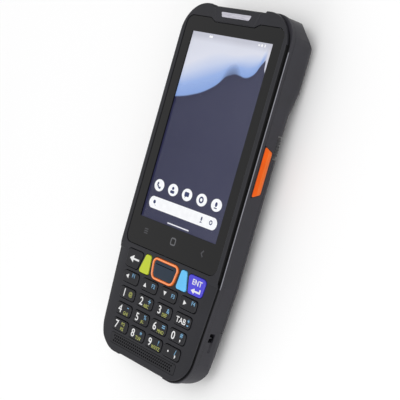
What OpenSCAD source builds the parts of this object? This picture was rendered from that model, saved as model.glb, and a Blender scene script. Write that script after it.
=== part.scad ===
// Portable barcode data terminal: a handheld computer with a scan window in its top
// end, a touch screen, a keypad, a scan key on each side and a battery pack on its back.
// Frame: +Z out of the screen, +Y towards the scan end, +X to the right of the screen.
// The origin is under the middle of the outline, level with the lowest face of the back.

/* [Body] */
// Length over the bumpers
body_l = 162.4; // [156:0.2:172]
// Width over the belt of the rear housing
body_w = 69.6; // [67.6:0.2:76]
// Depth from the back of the hump to the front rim
body_t = 19; // [18.8:0.1:22]
// Radius of the front shell's upper corners in plan
top_corner_r = 15; // [12:0.5:16]
// Radius of the housing's upper corners, which stand out a little
full_corner_r = 12; // [10:0.5:14]
// Radius of the bottom corners in plan
foot_corner_r = 13; // [9:0.5:14]
// How far each side draws in towards the keypad end
side_taper = 3.2; // [1:0.1:3.8]
// Distance from the middle to where the sides start to draw in
taper_start = 35; // [30:1:40]
// Radius of the long back edges
back_edge_r = 7; // [5:0.5:8]
// Thickness of the housing walls
wall = 2; // [1.8:0.1:2.3]
// How far the belt stands out from the side walls
belt_proud = 0.3; // [0.2:0.1:0.5]
// Height of the belt
belt_h = 2; // [1.4:0.1:2.2]
// How deep the ends are recessed between the bumpers
bumper_proud = 0.6; // [0.3:0.1:0.9]

/* [Hump over the scan engine] */
// How far the hump stands out behind the battery pack
hump_h = 2.6; // [1.6:0.1:3.4]
// Length of the hump's flat back, up to the top end
hump_l = 29.2; // [27:0.1:31]
// Length of the slope that leads up to the hump
hump_ramp = 11; // [8:0.5:13]

/* [Front] */
// Thickness of the cover glass
glass_t = 0.8; // [0.6:0.1:1]
// How far the glass lies below the rim
glass_drop = 0.4; // [0.2:0.1:0.6]
// Distance of each long edge of the glass from the side of the belt
glass_side = 3.5; // [3.3:0.1:4.3]
// Length of the keypad end, up to the lower edge of the glass
keypad_l = 49.6; // [49.4:0.1:52]
// Corner radius of the cover glass
glass_r = 4; // [2:0.5:6]
// Distance of the upper edge of the glass from the top end
glass_inset = 6.1; // [5.6:0.1:8]
// Distance of the picture area from each long edge of the glass
picture_side = 5.38; // [5:0.02:6.4]
// Distance of the picture area from the upper edge of the glass
picture_inset = 7.1; // [6.4:0.1:8]
// Distance of the picture area from the lower edge of the glass
picture_foot = 13.2; // [12.4:0.1:15]
// How far the rim of the front shell stands in from the belt
rim_inset = 1.1; // [0.8:0.1:1.4]
// How far the keypad face lies below the rim
keypad_drop = 0.5; // [0.3:0.1:0.8]

/* [Keypad] */
// Distance of the key columns from the side of the belt
keypad_side = 7.8; // [7.6:0.1:8.6]
// Distance between neighbouring keycaps in the arrow row
column_gap = 2.7; // [2.6:0.1:3.6]
// Height of a keycap
cap_h = 5.2; // [4.4:0.1:5.4]
// Spacing of the key rows
row_pitch = 7.35; // [7.1:0.05:7.5]
// How much closer together the columns are in each further row
column_draw = 0.4; // [0.2:0.05:0.45]
// Height of the two coloured keys and the scan key's neighbours
top_key_h = 8.8; // [8:0.1:9]
// How far the keycaps stand out of the keypad face
cap_proud = 0.5; // [0.3:0.1:0.8]
// Travel of a keypad key
key_travel = 0.6; // [0.3:0.05:0.6]
// Width of the ring round the scan key
ring_w = 1.7; // [1.2:0.1:2]

/* [Side keys] */
// Length of a side scan key at its front edge
side_key_l = 22.2; // [18:0.2:24]
// Height of a side scan key
side_key_h = 5.4; // [4.6:0.1:5.6]
// How far a side scan key stands out of the side wall
side_key_proud = 1.1; // [0.6:0.1:1.4]
// Travel of a side key
side_travel = 0.5; // [0.3:0.05:0.6]

/* [Battery pack] */
// Distance of the pack's lower end from the keypad end
pack_foot_inset = 27; // [26.4:0.1:29]
// Distance of the pack's upper end from the top end
pack_top_inset = 59.2; // [58.4:0.1:60]
// Thickness of the pack's cover at the battery end
pack_t = 5.2; // [4.6:0.1:5.4]
// Thickness of the cell behind the cover
cell_t = 2.4; // [1.8:0.1:2.6]
// Length of a battery latch
latch_l = 9; // [7:0.2:10]
// Travel of a battery latch
latch_travel = 1.2; // [0.8:0.1:1.4]

/* [Fits] */
// Clearance round a key in its opening
key_gap = 0.2; // [0.15:0.05:0.25]
// Clearance between the battery pack and its bay
pack_gap = 0.4; // [0.3:0.05:0.5]
// Gap at each end of a latch
latch_gap = 0.7; // [0.5:0.1:0.9]
// Clearance between pieces that stay put
seat_gap = 0.1; // [0.06:0.02:0.14]

/* [Hidden] */
$fn = 48;

half_l = body_l / 2;
half_w = body_w / 2;
taper_angle = atan(side_taper / (half_l - taper_start));
// Radius that blends the straight sides into the drawn-in sides
blend_r = 20;
// Reach of cutting blocks past the surface that they cut
over = 5;
hair = 0.002;

// Levels, from the front rim down
rim_z = body_t;
glass_z = rim_z - glass_drop - glass_t;
seat_t = 0.6;
plate_z = glass_z - seat_t;
groove_h = 1.1;
lip_h = 0.6;
belt_z = rim_z - lip_h - groove_h;
keypad_z = rim_z - keypad_drop;
keypad_lip_z = belt_z + 0.2;
cap_z = keypad_z + cap_proud;
flange_t = 0.5;
flange_w = 0.4;
flange_z = plate_z - seat_gap - flange_t;
mat_t = 0.6;
mat_z = flange_z - key_travel - 2 * seat_gap - mat_t;
keypad_board_t = 0.8;
keypad_board_z = mat_z - keypad_board_t;
board_t = 1;
board_z = keypad_board_z - 0.5 - board_t;
tray_z = board_z - 0.9;

// Levels, from the back up
back_z = hump_h;
hump_r = [10, 9];
back_r = [6, 20];
corner_edge_r = 12;
corner_margin = 0.6;
hump_wall = 6;
hump_cavity_r = 15;
pack_z = back_z + pack_t;
cell_z = pack_z + cell_t;
pack_slope = 1;

// The front shell's own wall, the seal outside it and the housing's lip
tongue_inset = rim_inset + 1.25;
seal_w = 0.6;
seal_inset = tongue_inset - seat_gap - seal_w;
lip_inset = 0.95;
rebate_z = belt_z - 0.5;
cavity_inset = tongue_inset - seat_gap;

// Bumpers at the four corners, and the shoulders beside the keypad
bumper_x = 17;
bumper_l = 12.5;
foot_recess_w = 31;
shoulder_w = 6.4;
shoulder_drop = 1.6;

// Glass and picture
glass_w = body_w - 2 * glass_side;
glass_l = body_l - keypad_l - glass_inset;
glass_top = half_l - glass_inset;
glass_foot = glass_top - glass_l;
picture_w = glass_w - 2 * picture_side;
picture_l = glass_l - picture_inset - picture_foot;
notch_w = 25;
notch_slope = 3.4;
notch_h = 1.7;
picture_top = glass_top - picture_inset;
frame_w = 1.5;
module_foot = 6;
module_z = board_z + board_t + 0.4;

// Brow above the glass, with the bare badge
brow_h = 0.3;
brow_w = 27;
brow_l = 6.4;
brow_y = half_l - 4.2;
badge_w = 19.2;
badge_h = 2.3;
badge_t = 0.5;
badge_y = brow_y;
badge_z = rim_z + brow_h + 0.1 - badge_t;

// Keypad places
columns = 4;
column_pitch = (body_w - 2 * keypad_side) / columns;
cap_w = column_pitch - column_gap;
ring_h = 9.8;
ring_proud = 0.1;
ring_top_w = 18.6;
ring_foot_w = 15.2;
ring_r = [2.6, 3.4];
top_row_y = glass_foot - 6.5;
arrow_row_y = top_row_y - 8.5;
colour_key_w = [3.6, 7.2];
colour_key_x = 10.6;
colour_key_r = [1.2, 1.2, 1.2, 1.2];
outer_key_w = [11.6, 8.8];
outer_key_x = 15.7;
outer_key_r = [1.4, 1.4, 2, 2];
cap_r = 1.5;

// Grille
grille_y = arrow_row_y - 3 * row_pitch - 6.4;
grille_w = 46;
grille_h = 4.6;
grille_t = 1;
grille_rows = 3;
grille_pitch = 1.4;
grille_hole_r = 0.42;

// Side keys
side_key_y = half_l - 65.6;
side_key_z = belt_z - belt_h - 0.1 - side_key_h / 2;
side_key_slant = 2.1;
side_wall_x = half_w - belt_proud;
side_key_t = 2.2;
side_flange_w = 0.5;
side_flange_t = 1;
side_key_back = side_wall_x - side_key_t;
volume_y = half_l - 39.2;
volume_l = 16;
power_y = half_l - 24.2;
power_l = 7;
small_key_h = 3.6;
small_key_slant = 0.2;
small_key_proud = 0.7;

// Battery pack, its hinge lugs and latches
pack_foot = -half_l + pack_foot_inset;
pack_top = half_l - pack_top_inset;
pack_l = pack_top - pack_foot;
lug_r = 1.1;
lug_gap = 0.15;
lug_l = 6;
lug_x = 18;
lug_z = back_z + pack_slope + 1.6;
lug_below = 0.4;
cell_inset = [4.7, 4.5];
cell_y = pack_foot + cell_inset[0];
cell_l = pack_l - cell_inset[0] - cell_inset[1];
cell_floor_z = back_z + wall + 0.4;
cell_gap = 0.8;
latch_y = pack_top + latch_gap;
latch_in_x = side_wall_x - 8.6;
latch_h = 6;
latch_skin = 0.2;
latch_ribs = 6;

// Screws, as [x, y]; the cell stands between the heads of the screws beside the pack
screw_x = half_w - 5;
ledge_screws = [[screw_x - 1, pack_foot + 4.2], [screw_x, pack_top - 22]];
hump_screw = [half_w - 12, half_l - 10.7];
screw_r = 0.9;
screw_head_r = 1.9;
cell_w = 2 * (ledge_screws[0][0] - screw_head_r - 0.5);
screw_head_t = 1.2;
boss_r = 2.1;
screw_gap = 0.1;
bore_end_z = plate_z - 0.6;
hump_head_z = 0.3;

// Strap pockets
strap_y = -half_l + 24.2;
strap_z = side_key_z - 0.2;
strap_l = 3.8;
strap_h = 2.9;
strap_depth = 3.2;
strap_wall_x = half_w - belt_proud - side_taper * (-strap_y - taper_start) / (half_l - taper_start);
post_r = 0.7;

// Camera and flash on the hump
hump_start = half_l - hump_l;
camera_at = [half_w - 17, hump_start + 5];
camera_r = 4.4;
flash_at = [camera_at[0], camera_at[1] + 10];
flash_r = 2;
lens_t = 0.7;

// Boards: how far they stand in from the outline, and their posts
main_board_inset = 6.4;
keypad_board_inset = 7.7;
board_under_hump = 2.5;
processor_w = 18;
processor_y = -5;
post_x = 20;
board_posts_y = [pack_foot + 14.2, hump_start - 16.5];
keypad_posts_y = [top_row_y, arrow_row_y - 2.4 * row_pitch];

// Loudspeaker, vibration motor and the scan engine with its two lenses
speaker_x = 6.6;
speaker_w = 14;
speaker_l = 6.2;
speaker_neck_r = 2.2;
motor_at = [14.8 - half_w, hump_start + 6];
motor_r = 5;
motor_t = 3.2;
engine_w = 23;
engine_l = 15;
engine_top = half_l - 9;
lens_x = 5.5;
lens_r = 3;
lens_l = 5.5;
lens_bore = [2.2, 1.5];

// Switches behind the side keys, and the block of battery contacts
switch_l = 6;
switch_h = 2.2;
switch_depth = 3.9;
small_switch_l = 4;
power_switch_drop = 4;
contact_w = 14;
contact_l = 2.8;
contact_lift = 0.9;
pad_w = 1.8;
pad_l = 2.6;
pad_pitch = 2.6;
pad_t = 0.4;

// USB socket, let into the end of the main board
usb_w = 8.9;
usb_h = 3.2;
usb_l = 7.2;
usb_y = -half_l + bumper_proud;
usb_z = board_z - 0.4;

// Scan window
scan_w = 26;
scan_h = 6.8;
scan_z = 10.6;
scan_t = 1.2;

// ---------------------------------------------------------------- outlines

function unit(v) = v / norm(v);
function half_angle(p, q, s) = acos(unit(p - q) * unit(s - q)) / 2;
function run_in(p, q, s, r) = r / tan(half_angle(p, q, s));
function arc_centre(p, q, s, r) = q + unit(unit(p - q) + unit(s - q)) * r / sin(half_angle(p, q, s));

// A convex outline with one radius for each of its corners, 0 for a sharp one; each
// corner circle stands out by a hair, so that it crosses the straight sides cleanly
module rounded(points, radii) {
    n = len(points);
    polygon([
        for (i = [0 : n - 1])
            let (p = points[(i + n - 1) % n], q = points[i], s = points[(i + 1) % n])
            let (run = run_in(p, q, s, radii[i]))
            each (radii[i] == 0 ? [q] : [q + unit(p - q) * run, q + unit(s - q) * run])
    ]);
    for (i = [0 : n - 1])
        if (radii[i] > 0)
            translate(arc_centre(points[(i + n - 1) % n], points[i], points[(i + 1) % n], radii[i]))
                circle(r = radii[i] + hair);
}

// A trapezoid on the Y axis: w is [upper width, lower width], r the same for corner radii
module trapezoid(w, h, r) {
    rounded([[-w[0] / 2, h / 2], [-w[1] / 2, -h / 2], [w[1] / 2, -h / 2], [w[0] / 2, h / 2]],
            [r[0], r[1], r[1], r[0]]);
}

// The outline seen from the front, moved in by an inset
module plan(inset) {
    w = half_w - inset;
    l = half_l - inset;
    rounded([[-w, l], [-w, -taper_start], [-w + side_taper, -l],
             [w - side_taper, -l], [w, -taper_start], [w, l]],
            [top_corner_r - inset, blend_r, foot_corner_r - inset,
             foot_corner_r - inset, blend_r, top_corner_r - inset]);
}

module slab(z, h) translate([0, 0, z]) linear_extrude(h) children();
module along_x(w) rotate([90, 0, 90]) linear_extrude(w, center = true) children();
module along_y(l) rotate([90, 0, 0]) linear_extrude(l, center = true) children();
module both_sides() {
    children();
    mirror([1, 0, 0]) children();
}

// ---------------------------------------------------------------- outer form

// Right back edge of the housing in section; it runs past the left side
module edge_section(inset, z) {
    w = half_w - inset;
    rounded([[-body_w, z], [w, z], [w, 2 * body_t], [-body_w, 2 * body_t]], [0, back_edge_r, 0, 0]);
}

// Rounded long edges: straight sides cut by sides that are drawn in, each pair meeting in a mitre
module edge_form(inset, z) {
    intersection() {
        along_y(3 * body_l) edge_section(inset, z);
        mirror([1, 0, 0]) along_y(3 * body_l) edge_section(inset, z);
        drawn_in_edge(inset, z);
        mirror([1, 0, 0]) drawn_in_edge(inset, z);
    }
}

module drawn_in_edge(inset, z) {
    translate([half_w, -taper_start, 0]) rotate([0, 0, -taper_angle])
        translate([-half_w, taper_start, 0]) along_y(3 * body_l) edge_section(inset, z);
}

// Side view of the back without its hump
module back_profile(inset) {
    foot = -half_l;
    rounded([[foot, 2 * body_t], [foot, back_z + pack_t + 0.4],
             [pack_foot - 1.8, back_z + pack_slope + inset],
             [pack_top, back_z + inset], [half_l, back_z + inset], [half_l, 2 * body_t]],
            [0, back_r[0], back_r[1], 0, hump_r[1], 0]);
}

// Side view of the hump
module hump_profile() {
    start = hump_start - hump_ramp * (1 + over / hump_h);
    rounded([[start, back_z + over], [hump_start, 0], [half_l, 0], [half_l, 2 * body_t], [start, 2 * body_t]],
            [0, hump_r[0], hump_r[1], 0, 0]);
}

// The whole closed form behind the belt
module back_form(inset) {
    intersection() {
        linear_extrude(belt_z) plan(belt_proud + inset);
        along_x(2 * body_w) back_profile(inset);
        edge_form(belt_proud + inset, back_z + inset);
    }
}

// The two upper corners of the housing are fuller than those of the front shell
module full_plan(inset) {
    w = half_w - inset;
    r = full_corner_r - inset;
    plan(inset);
    rounded([[-w, half_l - inset], [-w, 0], [w, 0], [w, half_l - inset]], [r, 0, 0, r]);
}

// Rounds the back of both upper corners, where the rounded end and sides would meet in a point
module corner_form(turn) {
    centre = [half_w - belt_proud - full_corner_r, half_l - belt_proud - full_corner_r];
    reach = (centre[0] + centre[1]) * sin(45) + full_corner_r + corner_margin;
    rotate([0, 0, turn]) along_x(3 * body_l)
        rounded([[-body_l, 0], [reach, 0], [reach, 2 * body_t], [-body_l, 2 * body_t]],
                [0, corner_edge_r, 0, 0]);
}

// Rounded right edge of the slope that leads up to the hump
module ramp_edges() {
    translate([0, hump_start, 0]) rotate([-atan(hump_h / hump_ramp), 0, 0])
        along_y(3 * body_l) edge_section(belt_proud, 0);
}

module hump_form() {
    intersection() {
        linear_extrude(belt_z) full_plan(belt_proud);
        ramp_edges();
        mirror([1, 0, 0]) ramp_edges();
        along_x(2 * body_w) hump_profile();
        edge_form(belt_proud, 0);
    }
}

// Recess between the bumpers at one end, as a block that is cut away
module end_recess(w, depth) {
    slab(-over, 3 * body_t) polygon([[-w / 2 - over, half_l + over], [-w / 2, half_l - depth],
                                     [w / 2, half_l - depth], [w / 2 + over, half_l + over]]);
}

module end_recesses() {
    end_recess(2 * bumper_x, bumper_proud);
    mirror([0, 1, 0]) end_recess(foot_recess_w, bumper_proud - 0.1);
}

// ---------------------------------------------------------------- front

module glass_outline(grow) {
    difference() {
        translate([0, glass_top - glass_l / 2])
            trapezoid([glass_w + 2 * grow, glass_w + 2 * grow], glass_l + 2 * grow,
                      [glass_r + grow, glass_r + grow]);
        translate([0, glass_top - notch_h + grow])
            polygon([[-notch_w / 2 + grow, 0], [notch_w / 2 - grow, 0],
                     [notch_w / 2 - grow + 3 * notch_slope, 3 * notch_h],
                     [-notch_w / 2 + grow - 3 * notch_slope, 3 * notch_h]]);
    }
}

module display_outline(grow) {
    w = picture_w + 2 * (frame_w + grow);
    translate([-w / 2, picture_top - picture_l - module_foot - grow])
        square([w, picture_l + module_foot + frame_w + 2 * grow]);
}

// Outline of one of the two keys between the scan key and the outer keys, on the right
module colour_key_outline(grow) {
    h = top_key_h / 2 + grow;
    translate([colour_key_x, top_row_y])
        rounded([[-grow, h], [-1 - grow, -h], [colour_key_w[1] - 1 + grow, -h], [colour_key_w[0] + grow, h]],
                colour_key_r);
}

// Outline of the outer key of the top row, on the right
module outer_key_outline(grow) {
    h = (top_key_h - 0.6) / 2 + grow;
    slant = outer_key_w[0] - outer_key_w[1] - 0.6;
    translate([outer_key_x, top_row_y])
        rounded([[-grow, h], [slant - grow, -h],
                 [slant + outer_key_w[1] + grow, -h], [outer_key_w[0] + grow, h]],
                outer_key_r);
}

module ring_outline(grow) {
    translate([0, top_row_y])
        trapezoid([ring_top_w + 2 * grow, ring_foot_w + 2 * grow], ring_h + 2 * grow, ring_r + [grow, grow]);
}

module cap_outline(grow) trapezoid([cap_w + 2 * grow, cap_w + 2 * grow], cap_h + 2 * grow, [cap_r, cap_r]);

// Place of a keycap; column and row count from 0 at the upper left
function cap_at(column, row) =
    [(column - (columns - 1) / 2) * (column_pitch - row * column_draw), arrow_row_y - row * row_pitch];

// One opening or cap outline for every key
module all_key_outlines(grow) {
    ring_outline(grow);
    for (side = [-1, 1]) scale([side, 1]) {
        colour_key_outline(grow);
        outer_key_outline(grow);
    }
    for (row = [0 : 3], column = [0 : 3]) translate(cap_at(column, row)) cap_outline(grow);
}

module badge_outline(grow) translate([0, badge_y])
    trapezoid([badge_w + 2 * grow, badge_w - badge_h + 2 * grow], badge_h + 2 * grow, [0, 0]);

module grille_outline(grow) {
    translate([0, grille_y])
        trapezoid([grille_w + 2 * grow, grille_w + 2 * grow], grille_h + 2 * grow, [1 + grow, 1 + grow]);
}

// Planes that slope down from the keypad face to the rim on both sides of it
module shoulder_cuts() {
    slope_x = half_w - shoulder_w;
    both_sides() intersection() {
        along_y(2 * body_l) polygon([[slope_x, keypad_z], [half_w + over, keypad_z - shoulder_drop],
                                     [half_w + over, rim_z + over], [slope_x, rim_z + over]]);
        along_x(2 * body_w) keypad_cut_profile();
    }
}

module keypad_cut_profile() {
    polygon([[glass_foot - 1, rim_z], [glass_foot - 3.5, keypad_z], [glass_foot - 6, 0], [-body_l, 0],
             [-body_l, rim_z + over], [glass_foot - 1, rim_z + over]]);
}

module keypad_cut() {
    along_x(2 * body_w) polygon([[glass_foot - 1, rim_z], [glass_foot - 3.5, keypad_z], [-body_l, keypad_z],
                                 [-body_l, rim_z + over], [glass_foot - 1, rim_z + over]]);
}

// The rim of the shell reaches the full length of the body at its two upper corners
module top_bumpers() {
    w = half_w - rim_inset;
    r = top_corner_r - rim_inset;
    intersection() {
        slab(belt_z + seat_gap, rim_z - belt_z - seat_gap)
            rounded([[-w, half_l], [-w, 0], [w, 0], [w, half_l]], [r, 0, 0, r]);
        both_sides() translate([bumper_x, half_l - bumper_l, 0]) cube([half_w, half_l, 2 * body_t]);
    }
}

module shell_blank() {
    lip_foot = glass_foot - 2.4;
    slab(plate_z, rim_z - plate_z) plan(tongue_inset);
    slab(rim_z - lip_h, lip_h) plan(rim_inset);
    intersection() {
        slab(keypad_lip_z, rim_z - keypad_lip_z) plan(rim_inset);
        translate([-body_w, lip_foot - body_l, 0]) cube([2 * body_w, body_l, 2 * body_t]);
    }
    top_bumpers();
    slab(rim_z - lip_h, lip_h + brow_h) translate([0, brow_y])
        trapezoid([brow_w + 2, brow_w - 2], brow_l, [1, 1]);
}

module screw_bosses() {
    both_sides() {
        for (at = ledge_screws) translate([at[0], at[1], tray_z]) cylinder(r = boss_r, h = plate_z - tray_z);
        translate([hump_screw[0], hump_screw[1], tray_z]) cylinder(r = boss_r, h = plate_z - tray_z);
    }
}

module screw_bores() {
    both_sides() {
        for (at = ledge_screws)
            translate([at[0], at[1], 0]) cylinder(r = screw_r + screw_gap / 2, h = bore_end_z);
        translate([hump_screw[0], hump_screw[1], 0]) cylinder(r = screw_r + screw_gap / 2, h = bore_end_z);
    }
}

module front_shell() color("#2c2c31") difference() {
    union() {
        shell_blank();
        screw_bosses();
    }
    end_recesses();
    keypad_cut();
    shoulder_cuts();
    screw_bores();
    slab(glass_z, body_t) glass_outline(seat_gap);
    slab(plate_z - over, 2 * over) display_outline(seat_gap);
    slab(plate_z - over, 3 * over) all_key_outlines(key_gap);
    slab(keypad_z - grille_t - seat_gap, over) grille_outline(seat_gap);
    slab(plate_z - over, 3 * over) grille_outline(-0.8);
    slab(badge_z, over) badge_outline(seat_gap);
}

module glass_panel() color("#101014") slab(glass_z, glass_t) glass_outline(0);

module display_module() color("#6f7fa8") slab(module_z, glass_z - seat_gap - module_z) display_outline(0);

module badge_plate() color("#c9ccd2") slab(badge_z, badge_t) badge_outline(0);

// Strip with three staggered rows of sound holes
module speaker_grille() color("#232326") difference() {
    slab(keypad_z - grille_t, grille_t) grille_outline(0);
    count = floor((grille_w - 3) / grille_pitch);
    for (row = [0 : grille_rows - 1], i = [0 : count - 1 - row % 2])
        translate([(i - (count - 1 - row % 2) / 2) * grille_pitch,
                   grille_y + (row - (grille_rows - 1) / 2) * grille_pitch * sin(60), 0])
            cylinder(r = grille_hole_r, h = 2 * body_t, $fn = 13);
}

module seal_outline() difference() {
    plan(seal_inset);
    plan(seal_inset + seal_w);
}

module perimeter_seal() color("#0c0c0d") {
    tall_y = [glass_foot - 2.2, half_l - 12.7];
    slab(rebate_z, keypad_lip_z - seat_gap - rebate_z) seal_outline();
    intersection() {
        slab(rebate_z, rim_z - lip_h - seat_gap / 2 - rebate_z) seal_outline();
        translate([-body_w, tall_y[0], 0]) cube([2 * body_w, tall_y[1] - tall_y[0], 2 * body_t]);
    }
}

// ---------------------------------------------------------------- rear housing

module side_key_outline(l, h, slant, grow) {
    rounded([[-h / 2 - grow, -l / 2 + slant - grow / 2], [h / 2 + grow, -l / 2 - grow],
             [h / 2 + grow, l / 2 + grow], [-h / 2 - grow, l / 2 - slant + grow / 2]], [1.2, 0.8, 0.8, 1.2]);
}

// A solid on the right side wall, drawn in its own plane: outline x is height, y is length
module on_side(y, z, x, t) translate([x, y, z]) rotate([0, -90, 0]) mirror([0, 0, 1])
    linear_extrude(t) children();

module side_key(y, l, h, slant, proud) {
    on_side(y, side_key_z, side_key_back, side_key_t + proud) side_key_outline(l, h, slant, 0);
    on_side(y, side_key_z, side_key_back, side_flange_t) side_key_outline(l, h, slant, side_flange_w);
}

// Opening for a side key, wider inside where the flange runs
module side_key_opening(y, l, h, slant) {
    depth = side_travel + seat_gap;
    on_side(y, side_key_z, side_key_back - depth, over + depth) side_key_outline(l, h, slant, key_gap);
    on_side(y, side_key_z, side_key_back - depth, side_flange_t + depth + seat_gap)
        side_key_outline(l, h, slant, side_flange_w + key_gap);
}

module all_side_key_openings() {
    both_sides() side_key_opening(side_key_y, side_key_l, side_key_h, side_key_slant);
    mirror([1, 0, 0]) {
        side_key_opening(volume_y, volume_l, small_key_h, small_key_slant);
        side_key_opening(power_y, power_l, small_key_h, small_key_slant);
    }
}

// Space behind the front shell
module cavity() {
    slab(tray_z, body_t) plan(cavity_inset);
    slab(rebate_z, body_t) plan(lip_inset);
    hump_cavity();
}

module hump_cavity() {
    x = half_w - hump_wall;
    foot = hump_start - 1;
    top = half_l - wall - bumper_proud;
    intersection() {
        slab(0, 2 * body_t)
            rounded([[-x, top], [-x, foot], [x, foot], [x, top]], [hump_cavity_r, 0, 0, hump_cavity_r]);
        along_x(2 * body_w) rounded([[foot - 1, wall], [top, wall], [top, body_t], [foot - 1, body_t]],
                                    [0, hump_r[1] - wall - 1, 0, 0]);
    }
}

module bay() {
    translate([-body_w, pack_foot - pack_gap, -over])
        cube([2 * body_w, pack_l + 2 * pack_gap, pack_z + over]);
    translate([-cell_w / 2 - pack_gap, cell_y - pack_gap, -over])
        cube([cell_w + 2 * pack_gap, pack_top + pack_gap - cell_y + pack_gap, cell_z + pack_gap + over]);
    both_sides() translate([lug_x - lug_gap, pack_foot, lug_z]) rotate([0, 90, 0])
        cylinder(r = lug_r + lug_gap, h = lug_l + 2 * lug_gap);
}

module latch_pocket() {
    translate([latch_in_x - latch_travel - seat_gap, pack_top, -over])
        cube([body_w, latch_l + 2 * latch_gap, back_z + latch_h + seat_gap + over]);
}

module strap_pocket() {
    translate([strap_wall_x - strap_depth, strap_y - strap_l / 2, strap_z - strap_h / 2])
        cube([strap_depth + over, strap_l, strap_h]);
    translate([strap_wall_x - 0.8, strap_y - strap_l / 2 - 4.4, strap_z - strap_h / 2])
        cube([over, 4.5, strap_h / 2]);
}

module strap_post_at(r, extra) {
    translate([strap_wall_x - strap_depth / 2, strap_y, strap_z - strap_h / 2 - 1 - extra])
        cylinder(r = r, h = strap_h + 2 + 2 * extra);
}

// Seat for a round lens, with a ledge behind it; both start below the back
module lens_hole(r, ledge) {
    cylinder(r = r + seat_gap, h = over + lens_t + seat_gap);
    cylinder(r = r - ledge, h = 2 * over);
}

module camera_holes() {
    translate([camera_at[0], camera_at[1], -over]) lens_hole(camera_r, 1.2);
    translate([flash_at[0], flash_at[1], -over]) lens_hole(flash_r, 0.6);
}

module screw_head_pockets() both_sides() {
    for (at = ledge_screws) translate([at[0], at[1], 0])
        cylinder(r = screw_head_r + screw_gap, h = pack_z + screw_head_t + screw_gap);
    translate([hump_screw[0], hump_screw[1], -over])
        cylinder(r = screw_head_r + screw_gap, h = over + hump_head_z + screw_head_t + screw_gap);
}

// Solid blocks inside the walls: strap pockets, board posts and the hump screws' sleeves
module inner_blocks() both_sides() {
    intersection() {
        slab(tray_z - 1, rebate_z - seat_gap - tray_z + 1) plan(cavity_inset - 0.2);
        translate([half_w - 6.6, strap_y - strap_l / 2 - 2, 0]) cube([half_w, strap_l + 4, body_t]);
    }
    for (y = board_posts_y) translate([post_x, y, tray_z - 1]) cylinder(r = 1.6, h = board_z - tray_z + 1);
    translate([hump_screw[0], hump_screw[1], wall - 0.5])
        cylinder(r = boss_r, h = tray_z - seat_gap - wall + 0.5);
}

module usb_opening() {
    translate([-usb_w / 2 - 2 * seat_gap, -half_l - over, usb_z - 2 * seat_gap])
        cube([usb_w + 4 * seat_gap, over + wall + 2, usb_h + 4 * seat_gap]);
}

module rear_housing() color("#3a3a40") difference() {
    union() {
        difference() {
            intersection() {
                union() {
                    back_form(0);
                    hump_form();
                    slab(belt_z - belt_h, belt_h) full_plan(0);
                }
                corner_form(45);
                corner_form(-45);
            }
            cavity();
        }
        inner_blocks();
    }
    end_recesses();
    bay();
    both_sides() {
        latch_pocket();
        strap_pocket();
        strap_post_at(post_r + seat_gap / 2, seat_gap);
    }
    all_side_key_openings();
    camera_holes();
    screw_head_pockets();
    screw_bores();
    usb_opening();
    translate([0, -over, 0]) window_block(0, 2 * over);
    window_block(1, over);
}

// ---------------------------------------------------------------- fixed pieces

module screw(x, y, z, length) translate([x, y, z]) {
    cylinder(r = screw_head_r, h = screw_head_t);
    cylinder(r = screw_r, h = length);
}

module housing_screws() color("#8c8f94") both_sides() {
    for (at = ledge_screws) screw(at[0], at[1], pack_z + seat_gap, bore_end_z - 0.6 - pack_z);
    screw(hump_screw[0], hump_screw[1], hump_head_z, bore_end_z - 1);
}

module strap_posts() color("#a9abb0") both_sides() strap_post_at(post_r, 0);

module main_board() color("#1f5b3a") difference() {
    union() {
        slab(board_z, board_t) difference() {
            plan(main_board_inset);
            translate([-body_w, hump_start + board_under_hump]) square([2 * body_w, body_l]);
            translate([-body_w, grille_y + 4 - body_l]) square([2 * body_w, body_l]);
            both_sides() for (at = ledge_screws) translate(at) circle(r = boss_r + 0.5);
        }
        slab(board_z, board_t) translate([-6, grille_y - 1]) square([12, 6]);
        slab(board_z - 0.8, board_t) translate([0, processor_y]) square(processor_w, center = true);
    }
    translate([-usb_w / 2 - seat_gap, -half_l, 0])
        cube([usb_w + 2 * seat_gap, half_l + usb_y + usb_l + seat_gap, body_t]);
}

module keypad_zone(inset) difference() {
    plan(inset);
    translate([-body_w, glass_foot - 0.6]) square([2 * body_w, body_l]);
    translate([-body_w, grille_y + grille_h / 2 + 1 - body_l]) square([2 * body_w, body_l]);
}

module keypad_board() color("#245f3f") {
    slab(keypad_board_z, keypad_board_t) keypad_zone(keypad_board_inset);
    both_sides() for (y = keypad_posts_y) translate([post_x, y, board_z + board_t])
        cylinder(r = 1.2, h = keypad_board_z - board_z - board_t);
}

module keypad_mat() color("#55565a") slab(mat_z, mat_t) keypad_zone(keypad_board_inset - 0.2);

// Block round the middle of the scan window, as large as the pane plus a margin all round
module window_block(margin, t) translate([0, half_l - bumper_proud - scan_t, scan_z]) rotate([-90, 0, 0])
    linear_extrude(t) square([scan_w + 2 * margin, scan_h + 2 * margin], center = true);

module scan_window() color("#3a0d10") window_block(1 - seat_gap, scan_t - 0.2);

module scan_engine() color("#4a4b50") difference() {
    union() {
        translate([-engine_w / 2, engine_top - engine_l, wall + 3 * seat_gap])
            cube([engine_w, engine_l, module_z - 0.6 - wall - 3 * seat_gap]);
        for (x = [-lens_x, lens_x]) translate([x, engine_top - 0.1, scan_z]) rotate([-90, 0, 0])
            cylinder(r = lens_r, h = lens_l + 0.1);
    }
    translate([-lens_x, engine_top + lens_l - lens_bore[1], scan_z]) rotate([-90, 0, 0])
        cylinder(r = lens_bore[0], h = over);
}

module loudspeaker() color("#2f3033") {
    h = plate_z - seat_gap - tray_z;
    translate([speaker_x, grille_y - speaker_l / 2, tray_z]) cube([speaker_w, speaker_l, h - 0.6]);
    translate([speaker_x + speaker_w / 2, grille_y, tray_z]) cylinder(r = speaker_neck_r, h = h);
}

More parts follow.
